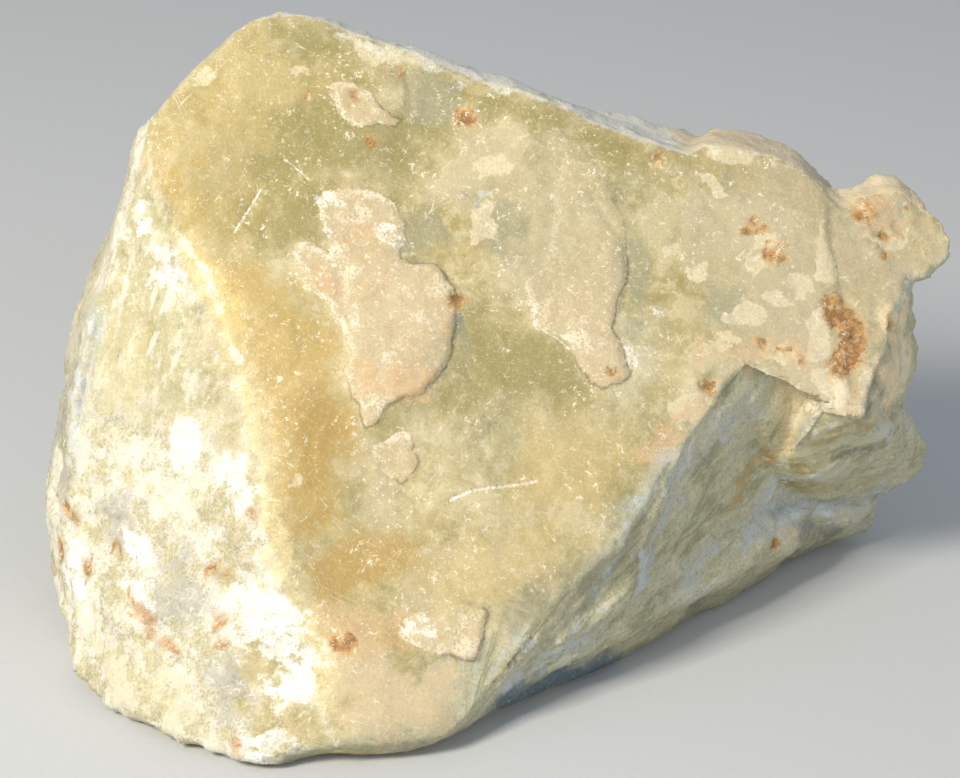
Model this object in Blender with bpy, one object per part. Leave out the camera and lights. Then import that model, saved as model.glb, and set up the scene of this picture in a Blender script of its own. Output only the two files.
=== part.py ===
"""A rough lump of serpentine, one solid, lying on the flat broken face it was split along.

Axes: +X along the lump's length, -Y towards its big split face, +Z up. The origin is on the floor,
under the middle of the lump. Corners, outlines and sizes below are in millimetres.
"""

import math

import bmesh
import bpy
from mathutils import Vector, noise

MM = 0.001

# Driving dimensions: how the two big split faces lie, and how finely the lump is made.
FACE_TILT = (10.0, 52.0)  # the front face: degrees that it turns to the right, and leans from the floor
FACE_TOE = (-18.0, -35.5, 4.0)  # its lowest corner
SHADE_TILT = (47.8, 92.3)  # the shaded right face, nearly upright
SHADE_FOOT = (2.5, -30.5, 0.0)  # where it meets the floor at the front
FUSE_GRID = 0.9  # grain of the mesh that the blocks are fused into
SWELL = 0.35  # what fusing takes off the corners, put back
MOST_TRIANGLES = 9400

# The main wedge, between the front face, the left face, the narrow top strip, the shaded right face
# and the back. It reaches below the floor, where the lump is cut off flat.
WEDGE = {
    "shoulder": (-44.5, 10.0, 67.5),
    "shoulder_left": (-46.0, 15.0, 68.5),
    "shoulder_top": (-43.5, 14.5, 72.0),
    "brow": (-38.0, 18.0, 76.5),
    "crown_left": (-30.5, 23.5, 81.5),
    "crown": (-27.0, 25.0, 82.0),
    "strip_left": (-18.5, 24.0, 79.5),
    "strip_right": (29.0, 19.5, 63.0),
    "strip_back_left": (-17.5, 33.0, 77.0),
    "strip_back_middle": (11.0, 30.0, 67.0),
    "strip_back_right": (30.0, 34.0, 61.0),
    "valley_top": (36.5, 2.5, 40.0),
    "edge_upper": (29.5, -2.0, 36.0),
    "edge_middle": (24.5, -8.0, 29.0),
    "edge_lower": (17.0, -15.5, 21.5),
    "bevel_top": (8.5, -18.5, 19.5),
    "bevel_middle": (3.5, -22.0, 16.5),
    "bevel_left": (0.0, -25.5, 12.5),
    "bevel_foot": (10.0, -20.5, 11.0),
    "edge_end": (2.0, -26.5, 4.5),
    "toe_right": (-4.0, -32.5, 3.5),
    "toe_middle": (-9.5, -33.0, 2.0),
    "toe": FACE_TOE,
    "foot_front": (-22.0, -34.5, 1.5),
    "foot_left": (-40.0, -22.5, 1.5),
    "foot_side": (-54.5, -13.5, 1.0),
    "left_edge_top": (-48.5, 8.0, 56.5),
    "left_edge_upper": (-53.5, 4.0, 41.0),
    "left_edge_middle": (-56.0, -0.5, 28.0),
    "left_edge_lower": (-56.5, -4.0, 19.0),
    "left_edge_foot": (-54.0, -9.5, 10.0),
    "side_top": (-49.5, 27.5, 58.0),
    "side_upper": (-51.0, 22.0, 52.0),
    "side_shoulder": (-53.0, 19.0, 46.0),
    "side_middle": (-58.5, 16.0, 33.0),
    "side_lower": (-61.7, 14.5, 17.0),
    "side_belly": (-62.0, 13.5, 12.0),
    "side_foot": (-61.0, 8.0, 6.0),
    "side_toe": (-56.5, -6.5, 1.5),
    "shade_toe": (4.0, -23.0, 4.0),
    "shade_foot": (17.5, -14.0, 1.5),
    "shade_heel": (43.0, 14.0, 1.0),
    "shade_end_low": (54.0, 27.0, 4.0),
    "shade_end_high": (50.0, 19.5, 35.0),
    "back_crown": (-31.0, 34.0, 72.0),
    "back_left_top": (-46.0, 32.0, 54.0),
    "back_left_middle": (-55.0, 29.0, 30.0),
    "back_left_low": (-55.0, 26.0, 8.0),
    "back_left_foot": (-46.0, 33.0, 1.5),
    "back_middle_left": (-24.0, 43.0, 45.0),
    "back_middle_right": (22.0, 44.0, 33.0),
    "back_low_left": (-26.0, 41.0, 2.0),
    "back_low_right": (24.0, 41.0, 3.0),
    "sole_left": (-51.0, 4.0, -2.0),
    "sole_corner": (-46.0, -15.0, -2.0),
    "sole_front": (-31.0, -28.0, -2.0),
    "sole_toe": (-11.0, -28.0, -2.0),
    "sole_middle": (-3.0, -17.5, -2.0),
    "sole_shade": (14.0, -6.0, -2.0),
    "sole_heel": (36.0, 15.0, -2.0),
    "sole_right": (40.0, 29.0, -2.0),
    "sole_back": (19.0, 36.0, -2.0),
    "sole_back_left": (-22.0, 36.0, -2.0),
    "sole_left_back": (-45.0, 26.0, -2.0),
}

# The rough foot of the left face, which swells out over the floor.
FOOT = {
    "top_left": (-55.5, -6.0, 17.0),
    "top_outer": (-47.0, -8.0, 23.0),
    "top_inner": (-37.0, -14.5, 24.0),
    "edge_inner": (-28.5, -23.0, 17.5),
    "edge_low": (-21.5, -31.0, 9.0),
    "toe": FACE_TOE,
    "front": (-23.5, -35.0, 1.5),
    "front_left": (-28.5, -36.5, 1.5),
    "left": (-34.0, -34.5, 1.5),
    "outer": (-42.0, -30.0, 1.5),
    "corner": (-49.0, -23.5, 1.5),
    "side": (-55.0, -15.0, 1.5),
    "swell_side": (-51.5, -14.0, 12.5),
    "swell_outer": (-43.5, -19.0, 15.5),
    "swell_inner": (-34.0, -26.5, 12.5),
    "inner_top": (-45.0, 0.0, 20.0),
    "inner_right": (-20.0, -20.0, 3.0),
    "sole_side": (-48.0, -12.0, -2.0),
    "sole_corner": (-43.0, -20.0, -2.0),
    "sole_front": (-29.0, -30.0, -2.0),
    "sole_toe": (-18.0, -28.0, -2.0),
}

# The blunt right end, which stands proud of the shaded face.
END_BLOCK = {
    "strip_right": (29.0, 19.5, 63.0),
    "top": (44.0, 21.0, 61.5),
    "top_right": (50.5, 24.0, 56.0),
    "rim_top": (57.5, 14.0, 49.5),
    "rim_middle": (55.5, 6.5, 40.5),
    "tip": (51.0, -0.5, 33.0),
    "edge": (43.5, 2.0, 38.0),
    "valley_top": (36.5, 2.5, 40.0),
    "side_top": (60.5, 15.0, 44.0),
    "side_middle": (62.0, 18.5, 35.0),
    "side_low": (60.0, 18.0, 26.5),
    "under": (53.0, 6.0, 28.0),
    "inner_front": (42.0, 8.0, 28.0),
    "inner_low": (44.0, 22.0, 16.0),
    "back_top": (50.0, 36.0, 42.0),
    "back_low": (53.0, 31.0, 14.0),
    "back_inner": (25.0, 38.0, 40.0),
}

# The nose below it, a rounded lip that hangs over the lower lobe.
NOSE = {
    "valley_top": (36.5, 2.5, 40.0),
    "edge": (43.5, 2.0, 37.5),
    "tip": (50.5, 0.0, 32.5),
    "shade_left": (35.5, 4.0, 31.0),
    "lip_inner": (41.0, 6.0, 23.0),
    "lip": (44.0, 4.5, 27.5),
    "lip_end": (55.5, 6.5, 28.0),
    "nose_top": (62.5, 19.5, 22.0),
    "nose": (64.5, 22.0, 18.0),
    "nose_low": (64.0, 24.0, 13.0),
    "chin": (60.0, 23.5, 9.0),
    "chin_inner": (54.0, 19.5, 10.0),
    "crease": (46.0, 14.5, 12.5),
    "inner_top": (40.0, 22.0, 34.0),
    "inner_low": (38.0, 22.0, 12.0),
    "back_top": (56.0, 31.0, 24.0),
    "back_low": (54.0, 32.0, 8.0),
}

# The lower lobe, a long low swelling along the foot of the shaded face.
LOBE = {
    "start": (8.0, -23.0, 6.5),
    "swell_start": (15.0, -18.0, 7.5),
    "swell_left": (21.5, -13.5, 8.5),
    "swell_middle": (30.5, -5.0, 8.5),
    "swell_right": (39.5, 4.5, 8.5),
    "swell_end": (49.5, 15.5, 7.5),
    "end_top": (57.5, 24.5, 6.5),
    "end_back": (57.0, 31.0, 16.0),
    "hem_start": (16.5, -14.5, 4.0),
    "hem_left": (24.5, -8.0, 5.0),
    "hem_middle": (32.0, 1.0, 4.0),
    "hem_right": (42.5, 12.0, 4.0),
    "hem_end": (54.0, 24.5, 3.0),
    "inner_left": (5.0, -15.0, 3.0),
    "inner_top": (31.0, 4.0, 13.0),
    "inner_end": (52.0, 24.0, 13.0),
    "inner_right": (48.0, 30.0, 2.0),
}

# The cap, a broken bump where the top strip runs out.
CAP = {
    "step_left": (30.0, 21.0, 64.0),
    "step_front": (35.0, 19.5, 62.0),
    "front": (44.0, 21.0, 62.0),
    "back_left": (33.0, 35.5, 61.0),
    "back": (38.5, 34.0, 61.0),
    "back_right": (44.5, 34.0, 59.0),
    "shoulder": (47.5, 32.0, 56.5),
    "neck": (51.0, 30.5, 53.5),
    "inner_left": (28.0, 30.0, 50.0),
    "inner_right": (48.0, 26.0, 44.0),
}

# The knob, a rough horn at the upper right corner.
KNOB = {
    "neck": (50.5, 24.0, 57.0),
    "top": (54.5, 26.0, 58.0),
    "top_right": (58.0, 27.0, 57.8),
    "shoulder": (61.8, 24.5, 55.2),
    "point": (65.8, 20.0, 52.8),
    "under": (65.5, 17.0, 48.5),
    "heel": (62.0, 15.0, 46.0),
    "face_left": (53.0, 15.5, 55.5),
    "face_top": (58.0, 15.5, 55.5),
    "face_right": (61.5, 14.0, 53.0),
    "face_low": (58.0, 12.5, 50.5),
    "inner": (50.0, 26.0, 46.0),
    "inner_back": (57.0, 27.0, 46.0),
}

BLOCKS = {"foot": FOOT, "end_block": END_BLOCK, "nose": NOSE, "lobe": LOBE, "cap": CAP, "knob": KNOB}

# Folds that run up the shaded face: (along, up) from its foot, and how far the crest stands out.
FOLD_WIDTH = 5.5
FOLD_ROOT = 1.0  # how deep a fold's sides are sunk in the face
FOLDS = {
    "high_fold": [
        (13.5, 10.0, 0.6),
        (21.0, 13.5, 1.6),
        (26.5, 17.5, 2.0),
        (29.0, 23.5, 1.8),
        (38.0, 29.0, 1.5),
        (45.0, 30.0, 0.6),
    ],
    "middle_fold": [
        (27.0, 12.5, 0.6),
        (32.5, 18.0, 1.4),
        (39.0, 22.0, 1.6),
        (50.0, 23.0, 1.6),
        (58.0, 24.0, 0.8),
    ],
    "shelf": [(12.0, 10.5, 0.6), (23.5, 12.5, 1.4), (41.0, 12.0, 1.6), (54.5, 12.0, 1.6)],
}

# Thin plates left on the front face: outlines as (across, up) from its toe. Each stands proud at its
# lower right side and runs out towards its upper left.
PLATE_THICKNESS = 0.9
PLATE_ROOT = 3.0
PLATES = {
    "big_plate": [
        (4.0, 73.0),
        (8.0, 73.5),
        (13.0, 71.5),
        (15.5, 68.5),
        (14.5, 64.5),
        (19.0, 62.0),
        (21.0, 58.5),
        (21.0, 53.0),
        (18.0, 47.0),
        (14.5, 44.0),
        (8.5, 40.5),
        (7.0, 41.0),
        (5.5, 48.5),
        (5.5, 54.0),
        (3.0, 60.0),
        (-0.5, 64.0),
        (1.0, 67.0),
    ],
    "tongue": [
        (37.5, 77.0),
        (41.0, 75.5),
        (44.0, 71.0),
        (45.5, 64.5),
        (45.5, 59.5),
        (43.5, 54.0),
        (44.0, 45.5),
        (42.5, 43.5),
        (40.0, 44.0),
        (38.0, 48.0),
        (34.0, 52.0),
        (35.5, 59.0),
        (38.5, 66.0),
    ],
    "low_plate": [(9.0, 17.5), (16.5, 18.5), (22.5, 16.5), (19.5, 9.5), (14.0, 10.0), (8.5, 13.5)],
}

# Flakes struck off the lump: a point on it, the way the scar faces, its ball's radius, and its depth.
SCARS = {
    "ridge": ((-34.0, -8.0, 42.0), (-0.2, -0.83, 0.52), 120.0, 1.8),
    "end_face": ((52.0, 14.0, 51.0), (0.3, -0.72, 0.63), 45.0, 0.9),
    "back_high": ((-2.0, 40.0, 58.0), (0.1, 0.75, 0.6), 60.0, 4.0),
    "back_low": ((-30.0, 43.0, 22.0), (-0.2, 1.0, -0.05), 55.0, 3.5),
    "back_right": ((44.0, 40.0, 28.0), (0.5, 0.85, 0.0), 45.0, 4.0),
}

# The broken surface: size and height of its waves, lumps and grain, and an offset for each pattern.
WAVES = (17.0, 0.8, (0.0, 0.0, 0.0))
LUMPS = (7.0, 0.35, (9.0, 4.0, 2.0))
GRAIN = (3.0, 0.12, (1.0, 7.0, 5.0))

# Rougher places: centre, reach, and how many times more the lumps and the grain stand out there.
ROUGH_PLACES = [
    ((-42.0, -20.0, 8.0), 24.0, 1.5),
    ((60.0, 20.0, 53.0), 10.0, 1.5),
    ((45.0, 22.0, 4.0), 22.0, 1.0),
    ((0.0, 50.0, 30.0), 45.0, 1.0),
]

STONE_COLOUR = (0.47, 0.43, 0.24, 1.0)
STONE_ROUGHNESS = 0.55


def clear_scene():
    for old in list(bpy.data.objects):
        bpy.data.objects.remove(old, do_unlink=True)


def face_axes(tilt):
    """A face's own directions: out of it, across it and up it."""
    turn, slope = (math.radians(angle) for angle in tilt)
    out = Vector((math.sin(turn) * math.sin(slope), -math.cos(turn) * math.sin(slope), math.cos(slope)))
    across = Vector((0.0, 0.0, 1.0)).cross(out).normalized()
    return out, across, out.cross(across)


def new_object(name, bm):
    mesh = bpy.data.meshes.new(name)
    bm.to_mesh(mesh)
    bm.free()
    obj = bpy.data.objects.new(name, mesh)
    bpy.context.collection.objects.link(obj)
    return obj


def block(name, corners):
    """The convex block that spans the named corners."""
    bm = bmesh.new()
    for corner in corners.values():
        bm.verts.new(Vector(corner) * MM)
    hull = bmesh.ops.convex_hull(bm, input=bm.verts)
    inside = hull["geom_interior"] + hull["geom_unused"]
    spare = {item for item in inside if isinstance(item, bmesh.types.BMVert)}
    bmesh.ops.delete(bm, geom=list(spare), context="VERTS")
    bmesh.ops.recalc_face_normals(bm, faces=bm.faces)
    return new_object(name, bm)


def fold_length(name, start, end):
    """One length of a fold: a low three-sided ridge between two points of its crest."""
    out, along, up = face_axes(SHADE_TILT)
    run = (Vector(end) - Vector(start)).xy.normalized()
    side = (up * run.x - along * run.y) * FOLD_WIDTH / 2
    corners = {}
    for end_name, (u, v, rise) in (("start", start), ("end", end)):
        base = Vector(SHADE_FOOT) + along * u + up * v
        corners[end_name + "_crest"] = base + out * rise
        corners[end_name + "_left"] = base + side - out * FOLD_ROOT
        corners[end_name + "_right"] = base - side - out * FOLD_ROOT
    return block(name, corners)


def plate(name, outline):
    """A plate on the front face, thickest towards its lower right side."""
    out, across, up = face_axes(FACE_TILT)
    corners = [Vector(corner) for corner in outline]
    middle = sum(corners, Vector((0.0, 0.0))) / len(corners)
    reach = max((corner - middle).length for corner in corners)
    bm = bmesh.new()
    rim = []
    for corner in corners:
        downhill = (corner - middle).dot(Vector((1.0, -1.0)).normalized()) / reach
        rise = PLATE_THICKNESS * (0.55 + 0.45 * downhill)
        rim.append(bm.verts.new((Vector(FACE_TOE) + across * corner.x + up * corner.y + out * rise) * MM))
    bmesh.ops.contextual_create(bm, geom=rim)
    root = bmesh.ops.extrude_face_region(bm, geom=bm.faces[:])
    lower = [item for item in root["geom"] if isinstance(item, bmesh.types.BMVert)]
    bmesh.ops.translate(bm, verts=lower, vec=-out * PLATE_ROOT * MM)
    bmesh.ops.recalc_face_normals(bm, faces=bm.faces)
    return new_object(name, bm)


def ball(name, point, facing, radius, depth):
    """The ball whose surface a struck flake leaves behind."""
    bm = bmesh.new()
    bmesh.ops.create_icosphere(bm, subdivisions=5, radius=radius * MM)
    centre = (Vector(point) + Vector(facing).normalized() * (radius - depth)) * MM
    bmesh.ops.translate(bm, verts=bm.verts, vec=centre)
    return new_object(name, bm)


def apply_modifiers(obj):
    graph = bpy.context.evaluated_depsgraph_get()
    mesh = bpy.data.meshes.new_from_object(obj.evaluated_get(graph))
    obj.modifiers.clear()
    obj.data = mesh


def combine(stone, other, operation):
    """Joins the other shape to the stone, or cuts it out of the stone."""
    modifier = stone.modifiers.new(operation.lower(), "BOOLEAN")
    modifier.operation = operation
    modifier.solver = "EXACT"
    modifier.object = other
    apply_modifiers(stone)
    bpy.data.objects.remove(other, do_unlink=True)


def remesh(stone):
    """An even mesh all over, fine enough to take the surface's lumps."""
    grid = stone.modifiers.new("fuse", "REMESH")
    grid.mode = "VOXEL"
    grid.voxel_size = FUSE_GRID * MM
    apply_modifiers(stone)


def pattern(at, size, height, offset):
    return noise.noise(at / size + Vector(offset)) * height


def roughness_at(at):
    """How many times the usual height the lumps and grain have at this point."""
    return 1.0 + sum(more for centre, reach, more in ROUGH_PLACES if (at - Vector(centre)).length < reach)


def roughen(stone):
    """Moves each point along its own normal by the waves, lumps and grain of a broken surface."""
    bm = bmesh.new()
    bm.from_mesh(stone.data)
    bm.normal_update()
    for vert in bm.verts:
        at = vert.co / MM
        rough = roughness_at(at)
        rise = SWELL + pattern(at, *WAVES) + (pattern(at, *LUMPS) + pattern(at, *GRAIN)) * rough
        vert.co += vert.normal * rise * MM
    bm.to_mesh(stone.data)
    bm.free()


def thin_out(stone):
    """Leaves the faces where the shape bends most."""
    triangles = sum(len(face.vertices) - 2 for face in stone.data.polygons)
    thin = stone.modifiers.new("thin", "DECIMATE")
    thin.ratio = MOST_TRIANGLES / triangles
    thin.use_collapse_triangulate = True
    apply_modifiers(stone)


def cut_flat(stone):
    """Cuts the foot off along the floor and closes the cut with one flat face."""
    bm = bmesh.new()
    bm.from_mesh(stone.data)
    whole = bm.verts[:] + bm.edges[:] + bm.faces[:]
    floor = {"plane_co": (0, 0, 0), "plane_no": (0, 0, 1)}
    cut = bmesh.ops.bisect_plane(bm, geom=whole, dist=0.001 * MM, clear_inner=True, **floor)
    for item in cut["geom_cut"]:
        if isinstance(item, bmesh.types.BMVert):
            item.co.z = 0.0
    rim = [edge for edge in bm.edges if edge.is_boundary]
    bmesh.ops.contextual_create(bm, geom=rim)
    bmesh.ops.triangulate(bm, faces=bm.faces)
    bm.to_mesh(stone.data)
    bm.free()


def centre_over_origin(stone):
    """Puts the middle of the lump's box over the origin, and says how far it moved."""
    middle = Vector((0.0, 0.0, 0.0))
    for axis in (0, 1):
        reach = [vert.co[axis] for vert in stone.data.vertices]
        middle[axis] = (min(reach) + max(reach)) / 2
    for vert in stone.data.vertices:
        vert.co -= middle
    print("moved by", [round(-shift / MM, 2) for shift in middle])


def stone_material():
    material = bpy.data.materials.new("serpentine")
    material.use_nodes = True
    shader = material.node_tree.nodes["Principled BSDF"]
    shader.inputs["Base Color"].default_value = STONE_COLOUR
    shader.inputs["Roughness"].default_value = STONE_ROUGHNESS
    shader.inputs["Metallic"].default_value = 0.0
    return material


clear_scene()
serpentine = block("serpentine", WEDGE)
for block_name, block_corners in BLOCKS.items():
    combine(serpentine, block(block_name, block_corners), "UNION")
for fold_name, crest in FOLDS.items():
    for number, (crest_start, crest_end) in enumerate(zip(crest, crest[1:])):
        combine(serpentine, fold_length(f"{fold_name}_{number}", crest_start, crest_end), "UNION")
for scar_name, scar in SCARS.items():
    combine(serpentine, ball(scar_name, *scar), "DIFFERENCE")
for plate_name, plate_outline in PLATES.items():
    combine(serpentine, plate(plate_name, plate_outline), "UNION")
remesh(serpentine)
roughen(serpentine)
thin_out(serpentine)
cut_flat(serpentine)
centre_over_origin(serpentine)
serpentine.data.materials.clear()
serpentine.data.materials.append(stone_material())
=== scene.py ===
"""The looks of a rough lump of serpentine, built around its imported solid."""

import math

import bmesh
import bpy
import numpy as np
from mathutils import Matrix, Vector, noise


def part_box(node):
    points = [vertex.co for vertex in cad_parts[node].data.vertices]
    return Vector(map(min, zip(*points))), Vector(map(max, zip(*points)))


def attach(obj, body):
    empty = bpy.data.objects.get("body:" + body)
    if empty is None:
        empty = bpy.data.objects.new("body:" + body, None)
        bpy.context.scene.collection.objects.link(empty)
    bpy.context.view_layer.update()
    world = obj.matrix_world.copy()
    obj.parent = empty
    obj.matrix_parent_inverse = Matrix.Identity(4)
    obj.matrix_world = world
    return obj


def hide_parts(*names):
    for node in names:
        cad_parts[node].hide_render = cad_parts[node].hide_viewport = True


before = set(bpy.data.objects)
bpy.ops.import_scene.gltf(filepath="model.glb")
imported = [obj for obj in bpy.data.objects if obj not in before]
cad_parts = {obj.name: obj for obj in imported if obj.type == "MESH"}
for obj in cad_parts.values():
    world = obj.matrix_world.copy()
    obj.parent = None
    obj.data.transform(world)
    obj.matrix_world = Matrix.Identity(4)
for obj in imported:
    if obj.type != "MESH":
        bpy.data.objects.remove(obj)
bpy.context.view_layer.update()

# ---------------------------------------------------------------------------------------------
# The lump. One piece of serpentine, a waxy green rock, split from a vein by hand. It is taken
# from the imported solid, remeshed evenly and finely, and its broken corners are eased a little.
MM = 0.001
GRAIN_OF_MESH = 0.63  # mm between points
EASING_PASSES = 5
FRONT_PASSES = 50  # more easing inside the front face, which split almost flat
FRONT_SPREAD = 0.955  # cosine of the widest turn from the front face that gets it
SCRATCH_REACH = 0.7  # mm on each side of a scratch where the mesh is four times finer
SCRATCH_DEPTH = 6.0  # mm from the front face within which it is

# Deep scratches on the front face, (across, up) in mm from its toe, with half the width in mm.
DEEP_SCRATCHES = [
    ([(17.5, 30), (20.5, 31), (24.5, 31.2), (29, 31.5)], 0.2),
    ([(-3.5, 74), (-7.5, 68.5)], 0.14),
    ([(0, 78), (1.6, 76.6), (3, 75)], 0.14),
    ([(32.5, 51.5), (34, 50.6), (35.5, 49)], 0.12),
]


def unit(vector):
    return np.array(vector, float) / np.linalg.norm(vector)


def face_frame(corner, out):
    """A face's own axes: its corner, then the ways out of it, across it and up it."""
    out = unit(out)
    across = unit(np.cross((0.0, 0.0, 1.0), out))
    return np.array(corner), out, across, np.cross(out, across)


FRONT = face_frame((-19.5, -39.5, 4.0), (0.137, -0.776, 0.616))
LEFT = face_frame((-19.5, -39.5, 4.0), (-0.505, -0.787, 0.355))
SHADE = face_frame((1.0, -34.5, 0.0), (0.741, -0.671, -0.041))
STRIP = face_frame((-20.0, 20.0, 79.5), (0.339, 0.217, 0.917))
BACK = face_frame((0.0, 38.0, 0.0), (0.05, 0.97, 0.22))
SIDE = face_frame((-60.0, 5.0, 20.0), (-0.93, 0.05, 0.36))
END = face_frame((60.0, 15.0, 30.0), (0.93, -0.2, 0.3))


def place_on(points, face):
    """Where points lie on a face: across it, up it, and out of it, in mm."""
    corner, out, across, up = face
    away = points - corner
    return away @ across, away @ up, away @ out


def segment_distance(across, up, start, end):
    run = np.subtract(end, start)
    along = ((across - start[0]) * run[0] + (up - start[1]) * run[1]) / (run @ run)
    along = np.clip(along, 0.0, 1.0)
    return np.hypot(across - start[0] - along * run[0], up - start[1] - along * run[1])


def line_distance(across, up, line):
    """Distance from a chain of points."""
    return np.min([segment_distance(across, up, a, b) for a, b in zip(line, line[1:])], axis=0)


def ramp(value, low, high):
    """0 below low, 1 above high, and a smooth rise between."""
    t = np.clip((value - low) / (high - low), 0.0, 1.0)
    return t * t * (3.0 - 2.0 * t)


def vectors_of(mesh, field):
    flat = np.empty(len(mesh.vertices) * 3, np.float32)
    if field == "co":
        mesh.vertices.foreach_get("co", flat)
    else:
        mesh.vertex_normals.foreach_get("vector", flat)
    return flat.reshape(-1, 3).astype(float)


def ease(bm, verts, passes):
    for _ in range(passes):
        bmesh.ops.smooth_vert(bm, verts=verts, factor=0.5, use_axis_x=True, use_axis_y=True, use_axis_z=True)


def refine(bm, face, lines, reach, depth):
    """Cuts the mesh along some lines on a face into finer faces, twice. Reach and depth are in mm."""
    for _ in range(2):
        points = np.array([vert.co for vert in bm.verts]) / MM
        across, up, out = place_on(points, face)
        near = np.zeros(len(points), bool)
        for line in lines:
            near |= line_distance(across, up, line) < reach
        near &= np.abs(out) < depth
        bm.verts.ensure_lookup_table()
        edges = [edge for edge in bm.edges if near[edge.verts[0].index] and near[edge.verts[1].index]]
        bmesh.ops.subdivide_edges(bm, edges=edges, cuts=1, use_grid_fill=True)
        bm.verts.index_update()


lump_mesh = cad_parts["serpentine"].data.copy()
lump = bpy.data.objects.new("serpentine_lump", lump_mesh)
bpy.context.scene.collection.objects.link(lump)
lump_mesh.materials.clear()

bm = bmesh.new()
bm.from_mesh(lump_mesh)
bmesh.ops.remove_doubles(bm, verts=bm.verts, dist=0.001 * MM)
bm.to_mesh(lump_mesh)
bm.free()
fine_mesh = lump.modifiers.new("fine mesh", "REMESH")
fine_mesh.mode = "VOXEL"
fine_mesh.voxel_size = GRAIN_OF_MESH * MM
graph = bpy.context.evaluated_depsgraph_get()
lump_mesh = bpy.data.meshes.new_from_object(lump.evaluated_get(graph))
lump.modifiers.clear()
lump.data = lump_mesh

bm = bmesh.new()
bm.from_mesh(lump_mesh)
ease(bm, bm.verts, EASING_PASSES)
bm.normal_update()
front_way = FRONT[1].tolist()
inside_front = [vert for vert in bm.verts if vert.normal.dot(front_way) > FRONT_SPREAD]
ease(bm, inside_front, FRONT_PASSES)
bmesh.ops.bisect_plane(
    bm, geom=bm.verts[:] + bm.edges[:] + bm.faces[:], dist=0.001 * MM,
    plane_co=(0, 0, 0.1 * MM), plane_no=(0, 0, 1), clear_inner=True,
)
sole_rim = [edge for edge in bm.edges if edge.is_boundary]
for edge in sole_rim:
    for vert in edge.verts:
        vert.co.z = 0.0
sole = bmesh.ops.contextual_create(bm, geom=sole_rim)["faces"]
bmesh.ops.triangulate(bm, faces=sole)
refine(bm, FRONT, [line for line, _half_width in DEEP_SCRATCHES], SCRATCH_REACH, SCRATCH_DEPTH)
bm.to_mesh(lump_mesh)
bm.free()
points = vectors_of(lump_mesh, "co") / MM

# ---------------------------------------------------------------------------------------------
# Larger breaks. A few places are pressed out or in by a millimetre or two, and one slab is gone
# from beside the right end, down to the plane of the shaded face, which leaves a ledge.
# Presses: middle, reach and move, all in mm.
PRESSES = [
    ((52, 19, 3), 8, (2.9, -0.8, -0.9)),
    ((50, 19, 3), 7, (0.9, 0.4, 0)),
    ((20, 27, 65), 12, (0, -0.2, -0.4)),
    ((40, 24, 62), 8, (0, 0, -0.7)),
    ((-53, 10, 56), 12, (0.9, 0, 0)),
    ((58, 11, 41), 7, (-0.3, 0, 0)),
    ((62, 14, 21), 5, (-1, 0, 0)),
    ((44, 4.5, 19.5), 6, (0, -1.5, 0.5)),
    ((9, -24.5, 0), 10, (-1.1, 1, 0)),
]
INWARD = unit((0.0, 0.899, -0.438))
# Slabs: the way the new face looks, a point on it, its greatest depth in mm, then the lines that
# bound the break, each with the slope of the wall left along it. The first wall is undercut.
UNDERCUT = 0.35
UNDERCUT_REACH = 3.0  # mm
SLABS = [
    ((0.62, -0.78, 0.05), (29.7, -6.4, 35.4), 5.5,
     [((42.9, -3.1, 36.2), (34.2, -2.5, 40.2), 6.0), ((42.0, 1.2, 25.6), (46.8, -2.6, 35.3), 2.6)]),
    ((0.20, -0.87, -0.45), (45.0, -3.2, 33.4), 0.9,
     [((48.0, -4.5, 33.4), (42.5, -2.5, 33.2), 6.0), ((46.0, -2.6, 35.0), (42.2, 1.2, 25.6), 4.0),
      ((51.0, 2.0, 18.0), (52.0, -3.0, 33.0), 2.0), ((38.5, 0.5, 25.0), (56.5, 14.0, 14.0), 0.3)]),
]
SLAB_VIEW = face_frame((43.0, -2.0, 33.0), -INWARD)
WALL_REACH = 0.9  # mm on each side of a wall where the mesh is four times finer
WALL_DEPTH = 9.0  # mm
NOTCH_MIDDLE = np.array((40.0, -2.0, 31.0))
NOTCH_REACH = 20.0  # mm
BREAK_PASSES = 4  # easing of what the slabs left


def beside(start, end):
    """Distance in mm to one side of the sheet through a line that goes straight inward."""
    return (points - np.array(start)) @ unit(np.cross(np.subtract(end, start), INWARD))


bm = bmesh.new()
bm.from_mesh(lump_mesh)
walls_seen = []
for _slab_out, _slab_point, _deepest, walls in SLABS:
    for start, end, _slope in walls[:2]:
        walls_seen.append([place_on(np.array(corner), SLAB_VIEW)[:2] for corner in (start, end)])
refine(bm, SLAB_VIEW, walls_seen, WALL_REACH, WALL_DEPTH)
bm.to_mesh(lump_mesh)
bm.free()
points = vectors_of(lump_mesh, "co") / MM

for middle, reach, move in PRESSES:
    away = np.linalg.norm(points - np.array(middle), axis=1)
    points += ramp(reach * 1.5 - away, 0.0, reach * 1.5)[:, None] * np.array(move)
cut = np.zeros(len(points))
near_slab = np.linalg.norm(points - NOTCH_MIDDLE, axis=1) < NOTCH_REACH
for slab_out, slab_point, deepest, walls in SLABS:
    slab_out = unit(slab_out)
    depth = (points - np.array(slab_point)) @ slab_out / -(slab_out @ INWARD)
    for start, end, slope in walls:
        depth = np.minimum(depth, beside(start, end) * slope)
    depth = np.where(near_slab, np.clip(depth, 0.0, deepest), 0.0)
    start, end, _slope = walls[0]
    lean = ramp(UNDERCUT_REACH - beside(start, end), 0.0, UNDERCUT_REACH) * depth * UNDERCUT
    sideways = unit(np.cross(np.subtract(end, start), INWARD))
    points += INWARD * depth[:, None] - sideways * lean[:, None]
    cut = np.maximum(cut, depth)
points[:, 2] = np.maximum(points[:, 2], 0.0)
lump_mesh.vertices.foreach_set("co", (points * MM).astype(np.float32).ravel())
bm = bmesh.new()
bm.from_mesh(lump_mesh)
broken = [vert for vert, mm in zip(bm.verts, cut) if mm > 0.0]
ease(bm, broken, BREAK_PASSES)
bm.to_mesh(lump_mesh)
bm.free()
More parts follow.
